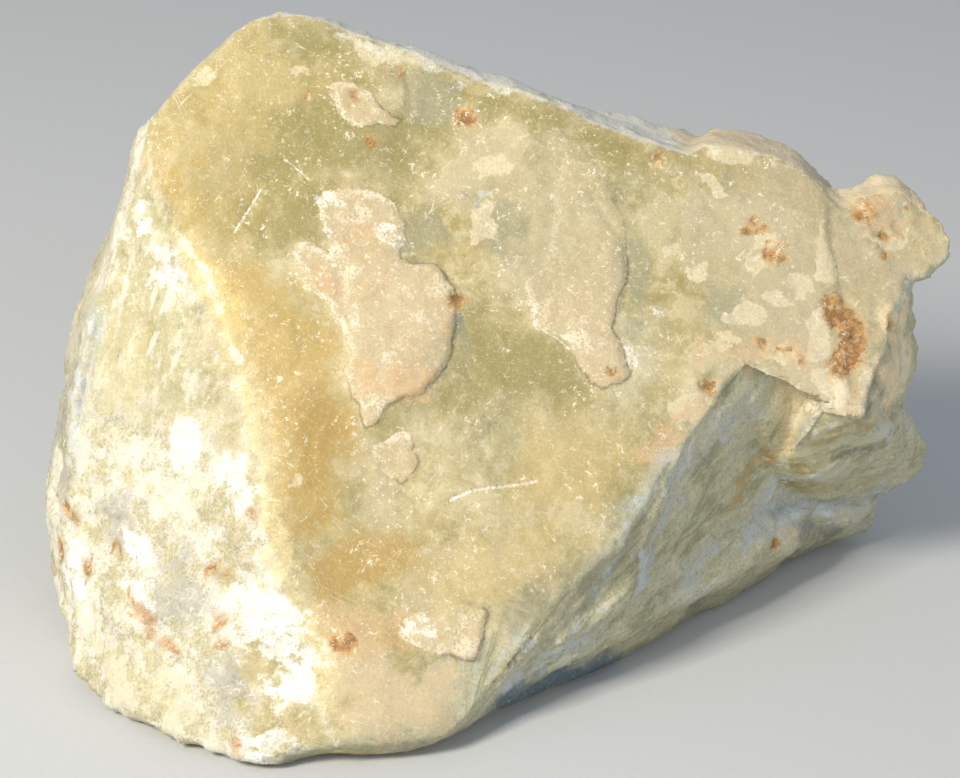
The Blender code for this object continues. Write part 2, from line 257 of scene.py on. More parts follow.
points = vectors_of(lump_mesh, "co") / MM
outward = vectors_of(lump_mesh, "normal")
rise = np.zeros(len(points))  # mm that the relief below adds along the normal
marks = {}  # one number for each point, which the material reads by name
# The layers of colour: colour, softness and raggedness in mm, strength, share broken up.
paint = {}


def lay(name, distance, colour, soft, wander, strength, broken=0.0):
    """A mark on the stone: how far each point is from it in mm, and the layer of colour it gets."""
    marks[name] = distance
    paint[name] = (colour, soft, wander, strength, broken)


# ---------------------------------------------------------------------------------------------
# The broken surface: waxy and nearly smooth on the front, where thin flakes have come away in
# steps, and hackly at the back and the ends.
FACES = {
    "front": FRONT, "left": LEFT, "shade": SHADE, "strip": STRIP, "back": BACK, "side": SIDE, "end": END,
}
STEP_HEIGHT = 0.16  # mm
RIGHT_STEP = 0.55  # mm
RIGHT_STEP_AT = 73.6  # mm across
SWELL_HEIGHT = 0.18  # mm
# Heights of lumps, fine lumps and chips: mm everywhere, then mm more where the stone is rough.
LUMPS = (0.05, 0.16)
FINE_LUMPS = (0.03, 0.12)
CHIPS = (0.10, 0.55)
noise.seed_set(7)  # else the chips would lean another way on every run


def lumps(size, seed, at=None, octaves=1):
    """A soft pattern of the given size in mm, from about -1 to 1, rougher with more octaves."""
    places = ((points if at is None else at) / size + seed).tolist()
    if octaves == 1:
        return np.array([noise.noise(place) for place in places])
    return np.array([noise.fractal(place, 0.7, 2.1, octaves) for place in places])


def chips(size, slope, seed):
    """The small flat chips of a hackly break: each cell of a random mesh leans its own way."""
    heights = []
    for place in (points / size + seed).tolist():
        cell = noise.voronoi(place)[1][0]
        lean = noise.noise_vector(cell * 3.7)
        heights.append((Vector(place) - cell).dot(lean))
    return np.array(heights) * size * slope


# Which face each point belongs to, by the way it looks out. The faces meet in soft borders.
looks = {name: outward @ face[1] for name, face in FACES.items()}
for name in FACES:
    rival = np.max([look for other, look in looks.items() if other != name], axis=0)
    marks[name] = ramp(looks[name] - rival, -0.06, 0.06)
marks["rear"] = np.clip(marks["back"] + marks["end"] + marks["side"], 0, 1)
front_across, front_up, front_out = place_on(points, FRONT)
left_across, left_up, left_out = place_on(points, LEFT)
shade_along, shade_up, shade_out = place_on(points, SHADE)

# The left end is tan above and blue-grey below, the blue-grey partly the stone's own colour and partly
# painted cool shade, and the crust climbs onto it from its foot and round its front corner. The borders
# wander.
cloudy = lumps(12.0, 31.0, octaves=4)
height = points[:, 2] + 12.0 * cloudy
marks["high_side"] = marks["side"] * ramp(height, 34.0, 50.0)
crust_climb = np.maximum(ramp(20.0 - height, -3.0, 4.0), ramp(2.0 + 9.0 * cloudy + left_out, -1.5, 1.5))
low_side = marks["side"] * crust_climb
marks["side"] -= low_side
marks["side"] *= ramp(50.0 - height, 0.0, 14.0) * (0.5 + 0.5 * ramp(cloudy, -0.25, 0.2))
crust = marks["left"] * ramp(36.0 - left_up, -4.0, 8.0) + low_side
right_end = ramp(points[:, 0], 40.0, 50.0) * (1.0 - marks["front"])
rough = marks["back"] + marks["end"] + marks["side"] + crust + 0.3 * marks["strip"] + 0.6 * right_end
rough = np.clip(rough, 0, 1)
knob = ramp(front_across, 76.5, 80.0) * ramp(front_up, 58.5, 62.0) * marks["front"]
rough += knob
marks["crust"] = crust
swell = lumps(9.0, 3.1)
flaked = lumps(10.0, 17.0, octaves=5)
steps = ramp(flaked, 0.02, 0.07) + ramp(flaked, 0.35, 0.40) - ramp(-flaked, 0.30, 0.35)
rise += SWELL_HEIGHT * swell * (1.0 - 0.6 * marks["front"])
rise += STEP_HEIGHT * steps * (0.8 + 0.8 * rough)
marks["skin"] = flaked
# The right end of the front face falls away in one shallow step.
step_edge = RIGHT_STEP_AT + 0.7 * lumps(3.0, 27.0) - front_across
beside_step = ramp(front_up, 49.0, 54.0) * ramp(70.0 - front_up, 0.0, 5.0) * marks["front"]
rise += RIGHT_STEP * ramp(front_across, 62.0, RIGHT_STEP_AT) * ramp(step_edge, -0.5, 0.4) * beside_step
rise += lumps(3.4, 11.7) * (LUMPS[0] + LUMPS[1] * rough)
rise += lumps(1.6, 5.3) * (FINE_LUMPS[0] + FINE_LUMPS[1] * rough)
rise += (chips(6.5, 0.16, 2.0) + chips(2.8, 0.22, 9.0)) * (CHIPS[0] + CHIPS[1] * rough)

# ---------------------------------------------------------------------------------------------
# Clouds and glows in the front face: milky haze, and warm amber and brown where the light goes into the
# stone, partly the stone's own colour and partly a glow of light painted into it. They have no edges, only a
# slow change of colour.
HAZES = [
    [(25.5, 79), (37.5, 78), (44.5, 66.5), (43, 52.5), (34.5, 51.5), (27.5, 62), (22, 71)],
    [(55, 71.5), (70, 66), (72.5, 53), (69.5, 42), (61.5, 47), (54, 50.5), (52.5, 61.5)],
    [(1, 11.5), (8.5, 9.5), (19, 8), (14, 0), (2.5, -0.5)],
    [(-4.5, 50.5), (3, 46.5), (7.5, 39), (3.5, 38), (-2.5, 42.5)],
    [(9, 23), (17, 25), (20.5, 20.5), (17.5, 16.5), (10.5, 16)],
    [(6, 35), (11, 33.5), (11.5, 25), (8, 23), (5, 28.5)],
]
AMBERS = [
    [(-9.5, 62.5), (-6, 64), (0.5, 60), (4.5, 54), (4.5, 44.5), (4.5, 40.5), (4.5, 34), (1.5, 26),
     (-2.5, 26.5), (-4.5, 32), (-6, 40), (-7, 48.5), (-8.5, 56.5)],
    [(-18, 79), (-14, 80), (-11.5, 78), (-11, 73), (-13, 70.5), (-17, 73)],
]
GOLDS = [
    [(-13.5, 67), (-11.5, 65.5), (-9.5, 62.5), (-8, 59), (-8, 55), (-9, 52.5), (-10.5, 54), (-12, 59),
     (-13, 64)],
]
GLOWS = [
    [(13.5, 22), (23.5, 25), (32, 27), (34, 23.5), (28, 17.5), (22, 13.5), (15.5, 16.5)],
    [(28, 40), (40, 40), (43, 33), (36, 28), (27, 27), (24, 33)],
]
BROWNS = [
    [(-2.5, 45), (3, 46.5), (5, 44.5), (5, 39), (3.5, 35.5), (-1, 31.5), (-4, 32), (-3, 38.5)],
    [(-4, 31), (1.5, 31.5), (3.5, 28.5), (0, 26.5), (-3.5, 27)],
    [(-2.5, 22.5), (0, 25), (4, 27), (10.5, 26.5), (13.5, 24.5), (12.5, 21), (8.5, 20), (3, 18),
     (-1.5, 18.5)],
]
OLIVES = [
    [(-4, 79.5), (3, 85.5), (11, 85), (19, 82.5), (22.5, 79.5), (15.5, 76), (6, 75), (0.5, 75),
     (-4.5, 76.5)],
    [(-6.5, 72), (-3.5, 74), (3, 74.5), (5, 71.5), (4.5, 66.5), (1, 65.5), (-3.5, 65.5), (-6, 68)],
    [(0.5, 97), (5.5, 97), (9, 95.5), (8.5, 93), (3.5, 91.5), (1, 93.5)],
    [(27, 85), (30, 85.5), (36.5, 84), (40, 81), (38, 80), (32.5, 81.5), (27, 83.5)],
    [(38, 80.5), (43.5, 78.5), (50.5, 77), (50.5, 75.5), (44.5, 75.5), (40, 78)],
    [(21.5, 55), (24, 55), (29.5, 53), (34.5, 51), (37.5, 47), (37.5, 42), (33.5, 41), (28.5, 43.5),
     (23, 45), (21.5, 48), (20.5, 50.5)],
    [(7, 40), (8.5, 42.5), (12, 44.5), (17.5, 45.5), (20, 48), (22, 46), (19, 42.5), (13, 41.5),
     (10, 38.5)],
]
MUSTARDS = [
    [(-17, 66), (-14, 88), (0, 97), (7, 88), (5, 77), (-1, 68), (-8, 64)],
]
# The white edge below the strip.
TOP_EDGES = [
    ([(9, 95), (17, 91.5), (26, 88), (33, 85.5), (40, 83), (52, 79), (60, 76.5)], 0.5),
]
# The pale yellow edge between the front and the left face, partly the stone's colour and partly painted glow
# of light coming through the ridge, as (line, half width).
EDGES = [
    ([(-15.5, 69.5), (-11.5, 63), (-9.8, 56), (-8.5, 50.5), (-7.5, 44), (-6.8, 36)], 0.4),
    ([(-6.8, 36), (-5.5, 26), (-4, 20), (-2, 12), (-1, 5)], 1),
]
PALE_FEET = [
    [(0, 11), (8, 10), (17, 9.5), (14.5, 1), (3, -0.5), (-1, 3)],
]
FAR = 8.0  # mm: no mark's distance is kept beyond this
FACE_DEPTH = 9.0  # mm from a face's plane within which its marks lie


def outline_distance(across, up, outline):
    """Distance from a closed outline in mm, below zero inside it."""
    inside = np.zeros(len(across), bool)
    nearest = np.full(len(across), np.inf)
    for start, end in zip(outline, outline[1:] + outline[:1]):
        nearest = np.minimum(nearest, segment_distance(across, up, start, end))
        crossed = (start[1] > up) != (end[1] > up)
        if start[1] != end[1]:
            meets = start[0] + (up - start[1]) * (end[0] - start[0]) / (end[1] - start[1])
            inside ^= crossed & (across < meets)
    return np.where(inside, -nearest, nearest)


def patches(face, outlines, ragged=0.7):
    """Distance from the nearest of some outlines on a face, whose edges wander by about ragged mm."""
    across, up, out = place_on(points, face)
    on_face = (np.abs(out) < FACE_DEPTH) & (outward @ face[1] > 0.35)
    distance = np.full(len(points), FAR)
    spot = points[on_face]
    across = across[on_face] + ragged * (lumps(4.5, 21.0, spot) + 0.6 * lumps(1.8, 23.0, spot))
    up = up[on_face] + ragged * (lumps(4.5, 31.0, spot) + 0.6 * lumps(1.8, 33.0, spot))
    for outline in outlines:
        distance[on_face] = np.minimum(distance[on_face], outline_distance(across, up, outline))
    return distance


lay("mustard", patches(FRONT, MUSTARDS, 1.5), (0.48, 0.365, 0.13), 4.0, 2.0, 0.7)
lay("tan_end", np.where(marks["front"] > 0.0, 58.0 - front_across, FAR), (0.52, 0.425, 0.26), 9.0, 2.5, 0.6)
lay("olive", patches(FRONT, OLIVES, 1.5), (0.30, 0.25, 0.085), 2.2, 1.8, 0.85)
lay("haze", patches(FRONT, HAZES, 1.5), (0.52, 0.44, 0.27), 2.5, 3.5, 0.65)
# Amber, glow and gold are partly the stone's colour and partly painted glow of light passing into the stone.
lay("amber", patches(FRONT, AMBERS, 1.5), (0.50, 0.34, 0.095), 2.5, 1.8, 0.75)
lay("glow", patches(FRONT, GLOWS, 1.5), (0.56, 0.43, 0.19), 3.0, 2.0, 0.6)
lay("brown", patches(FRONT, BROWNS, 1.0), (0.42, 0.27, 0.07), 1.8, 1.2, 0.8)
lay("pale_foot", patches(FRONT, PALE_FEET, 1.0), (0.62, 0.48, 0.28), 2.0, 3.0, 0.75)
lay("gold", patches(FRONT, GOLDS, 0.8), (0.72, 0.52, 0.16), 1.2, 0.9, 0.75, 0.2)

# ---------------------------------------------------------------------------------------------
# The plates. Thin skins of paler stone left on the front face when the next piece split away.
# They have ragged edges, and stand proud at their lower right sides, which get a painted shadow, while their
# upper left rims get a painted highlight.
PLATES = {
    "big_plate": [(4, 71), (5.5, 73), (8.5, 73), (12.5, 72.5), (14.5, 71), (15.5, 67.5), (14, 64.5),
                  (14.5, 63), (19.5, 61.5), (21, 58.5), (21, 55), (20, 51.5), (19, 48.5), (15.5, 44.5),
                  (13, 44), (8.5, 41), (7, 40.5), (6.5, 43.5), (6, 45.5), (5, 48), (6.5, 50), (5.5, 51.5),
                  (5, 55.5), (3, 58.5), (1, 60.5), (0.5, 62.5), (0, 65), (1, 67), (3, 66), (4.5, 64.5),
                  (4, 68.5)],
    "tongue": [(37.5, 75.5), (41, 74.5), (43.5, 72), (44.5, 67), (45.5, 61.5), (44.5, 58), (42.5, 54),
               (41.5, 51.5), (42.5, 48.5), (43.5, 45.5), (43, 44.5), (40, 43), (38.5, 44), (37.5, 46),
               (35.5, 49), (33, 51.5), (31, 52), (31, 55.5), (30.5, 59), (33.5, 60.5), (35, 65.5),
               (36.5, 70.5)],
    "high_plate": [(8, 88.5), (10, 88), (12.5, 87), (13.5, 85), (15, 83), (16.5, 82.5), (15.5, 81.5),
                   (13.5, 82.5), (12.5, 82), (10.5, 82), (8.5, 83), (8, 84.5), (7.5, 87)],
    "middle_plate": [(8, 37.5), (10.5, 39), (12, 39.5), (13.5, 39), (13, 37), (14, 35.5), (13, 33.5),
                     (11.5, 32.5), (10, 33.5), (9, 35.5)],
    "low_plate": [(8, 13), (10.5, 14), (12.5, 16.5), (14.5, 16.5), (16.5, 16.5), (18.5, 16.5), (21, 15),
                  (20, 11.5), (18.5, 9), (17, 9), (15, 10), (13.5, 9.5), (12, 10.5)],
}
# mm
PLATE_HEIGHTS = {"big_plate": 0.7, "tongue": 0.5, "low_plate": 0.6, "middle_plate": 0.3, "high_plate": 0.3}
PLATE_EDGE_GROOVE = 0.3  # mm
# How pale each plate is at its top and how pale at its foot, and the heights in mm those stand for.
PLATE_FADES = {
    "big_plate": (1, 1, 60, 50),
    "tongue": (0.25, 1, 63, 52),
    "low_plate": (0.1, 1, 16.5, 13),
    "middle_plate": (0.8, 0.5, 40, 34),
    "high_plate": (0.6, 0.9, 88, 84),
}
PALE_FLAKES = [
    [(57, 52), (60.5, 54.5), (64, 52), (63, 49.5), (59, 49.5)],
    [(68.5, 50.5), (71, 53), (72, 49), (71.5, 44.5), (69, 45)],
    [(66.5, 57.5), (70, 58.5), (70.5, 54.5), (67.5, 53.5)],
    [(1.5, 90.5), (3, 91), (4.5, 91), (4, 89.5), (2.5, 89.5)],
    [(-11, 89), (-9, 91.5), (-8, 90), (-9.5, 88)],
    [(57, 72.5), (59, 72.5), (59, 70.5), (60.5, 69), (59.5, 68.5), (58, 69.5), (57.5, 71.5)],
    [(71.5, 62.5), (73, 64), (73.5, 59), (73.5, 55.5), (73, 54.5), (71, 56), (70.5, 59)],
    [(63, 63), (65, 62.5), (65, 61), (63, 61)],
    [(62.5, 54.5), (65, 55), (67, 53), (66, 52), (63.5, 53)],
    [(63.5, 48), (66, 47), (68.5, 45), (67, 44), (64.5, 45.5)],
    [(68.5, 43.5), (72, 43), (73, 40), (71.5, 39), (69, 41.5)],
    [(57.5, 78.5), (62.5, 82), (65, 78), (64, 73.5), (61.5, 72.5), (59, 74)],
    [(79.5, 62.5), (84, 61.5), (86, 64), (85, 60), (82, 59.5)],
    [(50, 62.5), (52, 62.5), (52, 61), (50, 60.5)],
    [(53, 59), (55.5, 59), (55.5, 58), (55, 56.5), (53, 57)],
    [(61.5, 60), (64.5, 60), (64.5, 58), (62, 56.5), (61.5, 58)],
    [(55.5, 49.5), (58, 49.5), (60, 48.5), (59, 47), (56.5, 46), (55, 47.5)],
    [(48.5, 41), (52.5, 42), (54.5, 40), (51, 37.5), (48.5, 37.5), (47.5, 39.5)],
    [(25, 76.5), (29.5, 77), (32.5, 75.5), (30.5, 73), (26, 73.5)],
    [(26, 71), (27.5, 69.5), (26, 65), (24, 64.5), (24, 68.5)],
    [(62, 47.5), (66, 47.5), (67, 45.5), (65, 43.5), (62, 45.5)],
    [(10, 96), (12, 94.5), (15, 92), (17, 90.5), (14, 91), (11, 93)],
    [(-3.5, 33.5), (-2, 35.5), (-1, 34), (-2, 32.5)],
]
GREY_OLIVES = [
    [(16, 89.5), (19, 89.5), (24, 87), (24, 83.5), (21.5, 81.5), (17.5, 82.5)],
    [(15, 69.5), (17.5, 70), (20, 69), (22.5, 64.5), (19.5, 63.5), (15, 64.5)],
    [(25.5, 69), (28.5, 69.5), (32.5, 68), (32, 64.5), (27.5, 63.5), (25.5, 65.5)],
    [(44.5, 63.5), (46.5, 64), (48.5, 62), (47.5, 55), (45, 53), (43, 56.5)],
    [(55, 56.5), (58, 57), (60.5, 55.5), (61, 52.5), (60, 49.5), (56.5, 50), (55, 52.5)],
    [(59.5, 73.5), (61.5, 73), (63, 70), (62, 68), (60, 69.5)],
    [(77, 48.5), (79.5, 46.5), (78.5, 42.5), (76.5, 39), (75, 37), (74.5, 39), (75.5, 43)],
]
ORANGE_BLUSHES = [
    [(52.5, 41.5), (54.5, 44.5), (55.5, 48), (60, 49), (66, 47.5), (68.5, 44), (67, 43.5), (63.5, 45.5),
     (58, 45), (55, 42)],
    [(-1, 17), (7, 17), (9.5, 15), (10.5, 10), (2.5, 11), (-0.5, 13)],
    [(43.5, 34), (47.5, 38.5), (52.5, 41.5), (53.5, 40), (49.5, 36.5), (45.5, 32)],
    [(5, 63.5), (6.5, 62), (7.5, 59.5), (5.5, 58), (3.5, 61)],
    [(8, 72), (10.5, 70), (11, 67), (9, 66), (7.5, 67.5)],
    [(6, 48.5), (12.5, 48.5), (17.5, 46.5), (16, 43.5), (11.5, 42.5), (7, 44.5)],
    [(53.5, 48), (57, 48.5), (58, 47), (55.5, 45.5), (53.5, 46)],
    [(59.5, 47.5), (67.5, 48), (68, 46.5), (63, 45)],
    [(78, 67), (81.5, 67.5), (85, 66.5), (85.5, 64.5), (81.5, 62.5), (78.5, 64)],
]
# The dull brown-grey break along the lower right edge of the front face.
FRONT_BEVELS = [
    [(23.5, 16.5), (25.5, 17.5), (29, 18.5), (30.5, 15.5), (28.5, 12.5), (24, 12), (23, 13.5)],
]
SHADE_BEVELS = [
    [(14.5, 20.5), (20, 22.5), (26.5, 26.5), (28, 23), (21, 16.5), (15, 12.5), (11.5, 11), (9.5, 14.5)],
]
WHITE_DABS = [
    ([(76, 52), (76.5, 51), (77, 49.5)], 0.5),
    ([(67, 40), (68.5, 39), (69.5, 39.5)], 0.3),
    ([(4.2, 72), (4.8, 69), (5.5, 66), (6.5, 64), (8, 61.5)], 0.3),
    ([(5, 72.5), (7.5, 71), (10, 69.5)], 0.15),
    ([(7.3, 57), (7.6, 54), (6.5, 52)], 0.35),
    ([(12, 67.5), (14, 65.5)], 0.5),
    ([(26, 71.5), (28.5, 71.8)], 0.25),
    ([(-7.5, 79), (-5.8, 80)], 0.35),
    ([(43.5, 50), (44.2, 47), (44, 44)], 0.05),
    ([(9.5, 13), (12.5, 13.8), (13, 11.5)], 0.5),
    ([(18.5, 62.3), (19.5, 62)], 0.15),
    ([(47.8, 54), (49, 53)], 0.2),
    ([(17.5, 42.5), (16.5, 37), (15, 31.5), (14, 26.5)], 0.02),
]
BRUISES = [
    ([(14.5, 64.5), (16, 63), (17.5, 62.5)], 0.25),
    ([(23, 72), (24.5, 71), (26, 71.5), (28, 72.3)], 0.1),
    ([(21.3, 53.5), (22, 50.5)], 0.5),
    ([(4, 66), (5, 64.5)], 0.35),
    ([(27.5, 72), (25, 69.5)], 0.05),
    ([(47, 56), (49, 53)], 0.2),
]
# Painted shadow: thin dark lines, slightly grooved, along the edges of the plates, mostly their right sides,
# as (line, half width).
PLATE_EDGE_SHADOWS = [
    ([(19.5, 62), (21, 58.5), (21.1, 55)], 0.1),
    ([(41, 70.5), (42.5, 67), (44.8, 63.5), (45.2, 59.5), (43.8, 54.5), (42.2, 52.3)], 0.06),
    ([(7, 62), (6, 59.5), (6, 53)], 0.06),
    ([(17.5, 89.5), (18, 86.5), (17.5, 84.5)], 0.1),
]


def streaks(face, lines, ragged=0.25):
    """Distance in mm from the side of the nearest of some streaks, given as (line, half width)."""
    across, up, out = place_on(points, face)
    on_face = (np.abs(out) < FACE_DEPTH) & (outward @ face[1] > 0.2)
    distance = np.full(len(points), FAR)
    spot = points[on_face]
    across = across[on_face] + ragged * lumps(2.5, 41.0, spot)
    up = up[on_face] + ragged * lumps(2.5, 43.0, spot)
    for line, half_width in lines:
        distance[on_face] = np.minimum(distance[on_face], line_distance(across, up, line) - half_width)
    return distance


lay("grey_olive", patches(FRONT, GREY_OLIVES, 1.0), (0.33, 0.305, 0.185), 1.0, 1.4, 0.75)
lay("flake", patches(FRONT, PALE_FLAKES, 0.6), (0.74, 0.63, 0.42), 0.15, 0.8, 0.75, 0.3)
plate_edge = np.full(len(points), FAR)
marks["lower_right"] = np.zeros(len(points))
marks["pale"] = np.ones(len(points))
for name, outline in PLATES.items():
    edge = patches(FRONT, [outline], 0.5)
    plate_edge = np.minimum(plate_edge, edge)
    corners = np.array(outline)
    middle_across, middle_up = corners.mean(axis=0)
    half_size = np.abs(corners - corners.mean(axis=0)).max()
    lower_right = (0.75 * (front_across - middle_across) - 0.45 * (front_up - middle_up)) / half_size
    wedge = 0.15 + 0.85 * ramp(lower_right, -0.6, 0.5)
    top_pale, foot_pale, top, foot = PLATE_FADES[name]
    pale = foot_pale + (top_pale - foot_pale) * ramp(front_up, foot, top)
    marks["pale"] = np.where(edge < 2.0, pale, marks["pale"])
    marks["lower_right"] = np.where(edge < 2.0, ramp(lower_right, -0.1, 0.3), marks["lower_right"])
    rise += PLATE_HEIGHTS[name] * wedge * ramp(-edge, -0.1, 0.45)
lay("cream", plate_edge, (0.565, 0.45, 0.275), 0.15, 0.45, 0.8)
lay("orange", patches(FRONT, ORANGE_BLUSHES, 0.8), (0.62, 0.40, 0.20), 1.2, 1.8, 0.7, 0.5)
lay("top_edge", streaks(FRONT, TOP_EDGES, 0.5), (0.74, 0.71, 0.60), 0.5, 0.9, 0.8, 0.5)
lay("edge", streaks(FRONT, EDGES, 0.8), (0.84, 0.68, 0.34), 1.2, 1.8, 0.55, 0.5)
lay(
    "bevel", np.minimum(patches(FRONT, FRONT_BEVELS, 0.8), patches(SHADE, SHADE_BEVELS, 0.8)),
    (0.25, 0.22, 0.125), 1.2, 1.5, 0.65, 0.35,
)
lay("dab", streaks(FRONT, WHITE_DABS, 0.5), (0.88, 0.83, 0.70), 0.35, 0.9, 0.9, 0.9)
lay("bruise", streaks(FRONT, BRUISES, 0.4), (0.24, 0.25, 0.20), 0.4, 0.9, 0.7, 0.5)
# The painted shadow along the plate edges, with a shallow groove under it.
lay("plate_edge_shadow", streaks(FRONT, PLATE_EDGE_SHADOWS, 0.2), (0.16, 0.10, 0.05), 0.12, 0.12, 0.75)
rise -= PLATE_EDGE_GROOVE * ramp(-marks["plate_edge_shadow"], -0.5, 0.1)

# ---------------------------------------------------------------------------------------------
# The left face: pale and streaked along its height in its upper half, a rough white crust below.
FIBRE_HEIGHT = 0.14  # mm
STREAK_HEIGHT = 0.40  # mm
GROOVE_DEPTH = 0.50  # mm
WHITES = [
    [(-49, 57.5), (-45, 62.5), (-41.5, 59), (-39, 51.5), (-40.5, 50.5), (-45, 55), (-48.5, 54.5)],
    [(-35.5, 33.5), (-31, 34), (-29.5, 30.5), (-33, 28.5)],
    [(-25.5, 31.5), (-21.5, 31), (-19, 27), (-21, 24.5), (-24.5, 27)],
    [(-18.5, 15.5), (-11, 16), (-7, 10.5), (-6.5, 5), (-12, 5), (-16, 9.5)],
    [(-37, 12), (-30.5, 12), (-30.5, 9.5), (-36, 9)],
    [(-37.5, 17.5), (-34, 18.5), (-32, 15.5), (-34, 14), (-36.5, 14.5)],
    [(-12.5, -1.5), (-5.5, -0.5), (-1, -1), (-8, -3.5)],
    [(-48, 11), (-44.5, 12.5), (-43.5, 8.5), (-47, 7)],
]
GREYS = [
    [(-31.5, 13), (-26, 14), (-22.5, 10), (-23, 7.5), (-27.5, 8), (-31, 10.5)],
    [(-20, 7), (-16, 6.5), (-13, 2), (-12, -2.5), (-16, -1.5), (-18.5, 2.5)],
    [(-44.5, 19.5), (-39.5, 21.5), (-36, 18.5), (-38, 14), (-43, 15)],
    [(-32.5, 17.5), (-28, 18), (-23.5, 14), (-24.5, 12.5), (-29.5, 14)],
]
YELLOWS = [
    [(-22, 35.5), (-19, 35), (-17, 30.5), (-18.5, 28.5)],
    [(-40, 58), (-35, 54), (-30.5, 48), (-27.5, 43.5), (-30, 43.5), (-34.5, 49), (-37.5, 54)],
    [(-37.5, 1.5), (-28, 3), (-19, 0.5), (-15, -3), (-23, -4), (-33, -2.5)],
    [(-15, 20), (-11, 16), (-8.5, 11), (-10.5, 13.5), (-14, 16.5)],
    [(-46.5, 43.5), (-41, 45), (-38, 33), (-46.5, 32.5)],
]
WHITE_STREAKS = [
    ([(-41, 59.5), (-40.5, 54), (-40, 49), (-39.5, 43.5), (-40, 41.5)], 0.1),
    ([(-35.5, 50), (-33, 46.5), (-31.5, 44.5)], 0.15),
    ([(-40.5, 58.5), (-35, 54), (-30.5, 48), (-27.5, 43.5)], 0.3),
    ([(-45, 63), (-43, 60), (-41, 58.5)], 0.2),
    ([(-43.5, 58), (-40.5, 52.5)], 0.3),
    ([(-50.5, 43.5), (-50.5, 38.5), (-51.5, 33), (-53, 28.5)], 0.2),
]
GREY_STREAKS = [
    ([(-41, 58.5), (-38, 53.5), (-34.5, 49), (-30.5, 43.5)], 0.2),
    ([(-49.5, 43.5), (-49.5, 38.5), (-50, 33.5), (-50.5, 29)], 0.35),
]
DARK_CRACKS = [
    ([(-50, 43.5), (-50, 38.5), (-50.5, 33.5), (-51, 29)], 0.08),
    ([(-43.5, 13), (-43, 11), (-43, 9)], 0.25),
]
lay("yellow", patches(LEFT, YELLOWS, 1.0), (0.58, 0.50, 0.26), 2.5, 2.4, 0.5, 0.3)
lay("grey", patches(LEFT, GREYS, 0.9), (0.36, 0.335, 0.265), 1.4, 3.5, 0.75, 0.5)
lay("white", patches(LEFT, WHITES, 0.8), (0.84, 0.84, 0.80), 0.7, 2.6, 0.85, 0.45)
lay("grey_streak", streaks(LEFT, GREY_STREAKS, 0.3), (0.52, 0.53, 0.48), 0.4, 0.5, 0.6)
lay("streak", streaks(LEFT, WHITE_STREAKS), (0.86, 0.86, 0.80), 0.25, 0.5, 0.8, 0.6)
lay("crack", streaks(LEFT, DARK_CRACKS, 0.15), (0.12, 0.09, 0.06), 0.2, 0.3, 0.8)
grooves = np.column_stack([left_across / 3.0, left_up / 13.0, left_out / 6.0])
left_smooth = marks["left"] * (1.0 - crust)
rise += FIBRE_HEIGHT * lumps(1.0, 51.0, grooves, 3) * left_smooth
rise += STREAK_HEIGHT * ramp(-marks["streak"], -1.0, 0.1) * marks["left"]
rise -= GROOVE_DEPTH * ramp(-marks["grey_streak"], -1.0, 0.2) * marks["left"]
rise -= GROOVE_DEPTH * ramp(-marks["crack"], -0.4, 0.1)
rise += crust * (0.40 * np.abs(lumps(2.4, 61.0)) + 0.55 * np.abs(lumps(4.6, 63.0)) - 0.3)

# ---------------------------------------------------------------------------------------------
# The shaded face: grey-green folds with blue-white edges, which fan out from the toe, where the
# rock sheared along itself. The chains below are (x, y, z) in mm, with half the width in mm.
FAN_ALONG = -6.0  # mm along the face, where the folds would meet
FOLD_HEIGHT = 1.5  # mm
FINE_FOLD_HEIGHT = 0.55  # mm
FOLD_SINK = 0.45  # mm that the folded skin sinks as a whole
RECESS_LIGHT_DEPTH = 2.6  # mm that must be cut away before the painted light in the recess begins
BLUE_BANDS = [
    ([(-53.5, 1, 45), (-55.5, -1, 37.5), (-58, -3, 30), (-60.5, -5, 22.5)], 1.2),
    ([(1.5, -30.5, 6.5), (5.5, -27.5, 7), (10.5, -24, 9), (17, -18, 11)], 1),
    ([(14, -21, 16), (18.5, -17, 24.5), (24, -12, 30)], 0.6),
    ([(20.5, -15.5, 13), (22, -14.5, 20), (26.5, -10, 27), (31, -5, 31)], 0.8),
    ([(25, -11, 9), (30.5, -5.5, 13), (37.5, 3.5, 14.5), (44, 4.5, 20.3)], 0.7),
    ([(36, 1.5, 12), (39, 4.5, 12.5), (45, 10, 11), (52, 17, 8.5), (56.5, 16.5, 11)], 1.8),
]
BLUE_FOLDS = [
    ([(1.5, -30.5, 6.5), (5.5, -27.5, 7), (10.5, -24, 9), (13, -21.5, 8.5)], 0.28),
    ([(10.5, -25.5, 11.5), (13, -23, 13), (17, -20, 14), (21, -14, 13.5)], 0.1),
    ([(14, -21, 16), (18.5, -17, 24.5), (19.5, -16, 26)], 0.1),
    ([(20.5, -15.5, 13), (20, -16.5, 20), (21, -15.5, 22.5), (23, -13.5, 25.5), (24, -12, 27)], 0.1),
    ([(23, -13.5, 25.5), (26.5, -10, 28), (32.5, -3.5, 29.5), (33.5, -2.5, 31.5)], 0.1),
    ([(30.5, -5.5, 12), (33, -2, 13), (37.5, 3.5, 13.5), (40.5, 7.5, 13)], 0.1),
    ([(39, 5.5, 15), (44, 4.5, 20.3), (47.5, 3.5, 21.5)], 0.1),
    ([(39, 4.5, 12.5), (45, 10, 11.5), (52, 17, 8.5), (56.5, 16.5, 11)], 0.1),
    ([(40, 5.5, 11.5), (45.5, 10, 10.3)], 0.4),
    ([(47, 11, 9.5), (51, 15, 8)], 0.4),
    ([(2, -30, 5.5), (9, -25, 7.5)], 0.3),
]
OCHRES = [
    ([(41, 0.5, 27.5), (38.5, 0.5, 23.5), (35.5, -0.5, 19), (33.5, -1.5, 16.5)], 1),
    ([(46.5, -2, 29), (48.5, -2.5, 30), (52, -0.5, 29.5)], 0.35),
    ([(48.5, 0.5, 40.5), (49, -1, 38), (49, -4.5, 33)], 0.3),
]
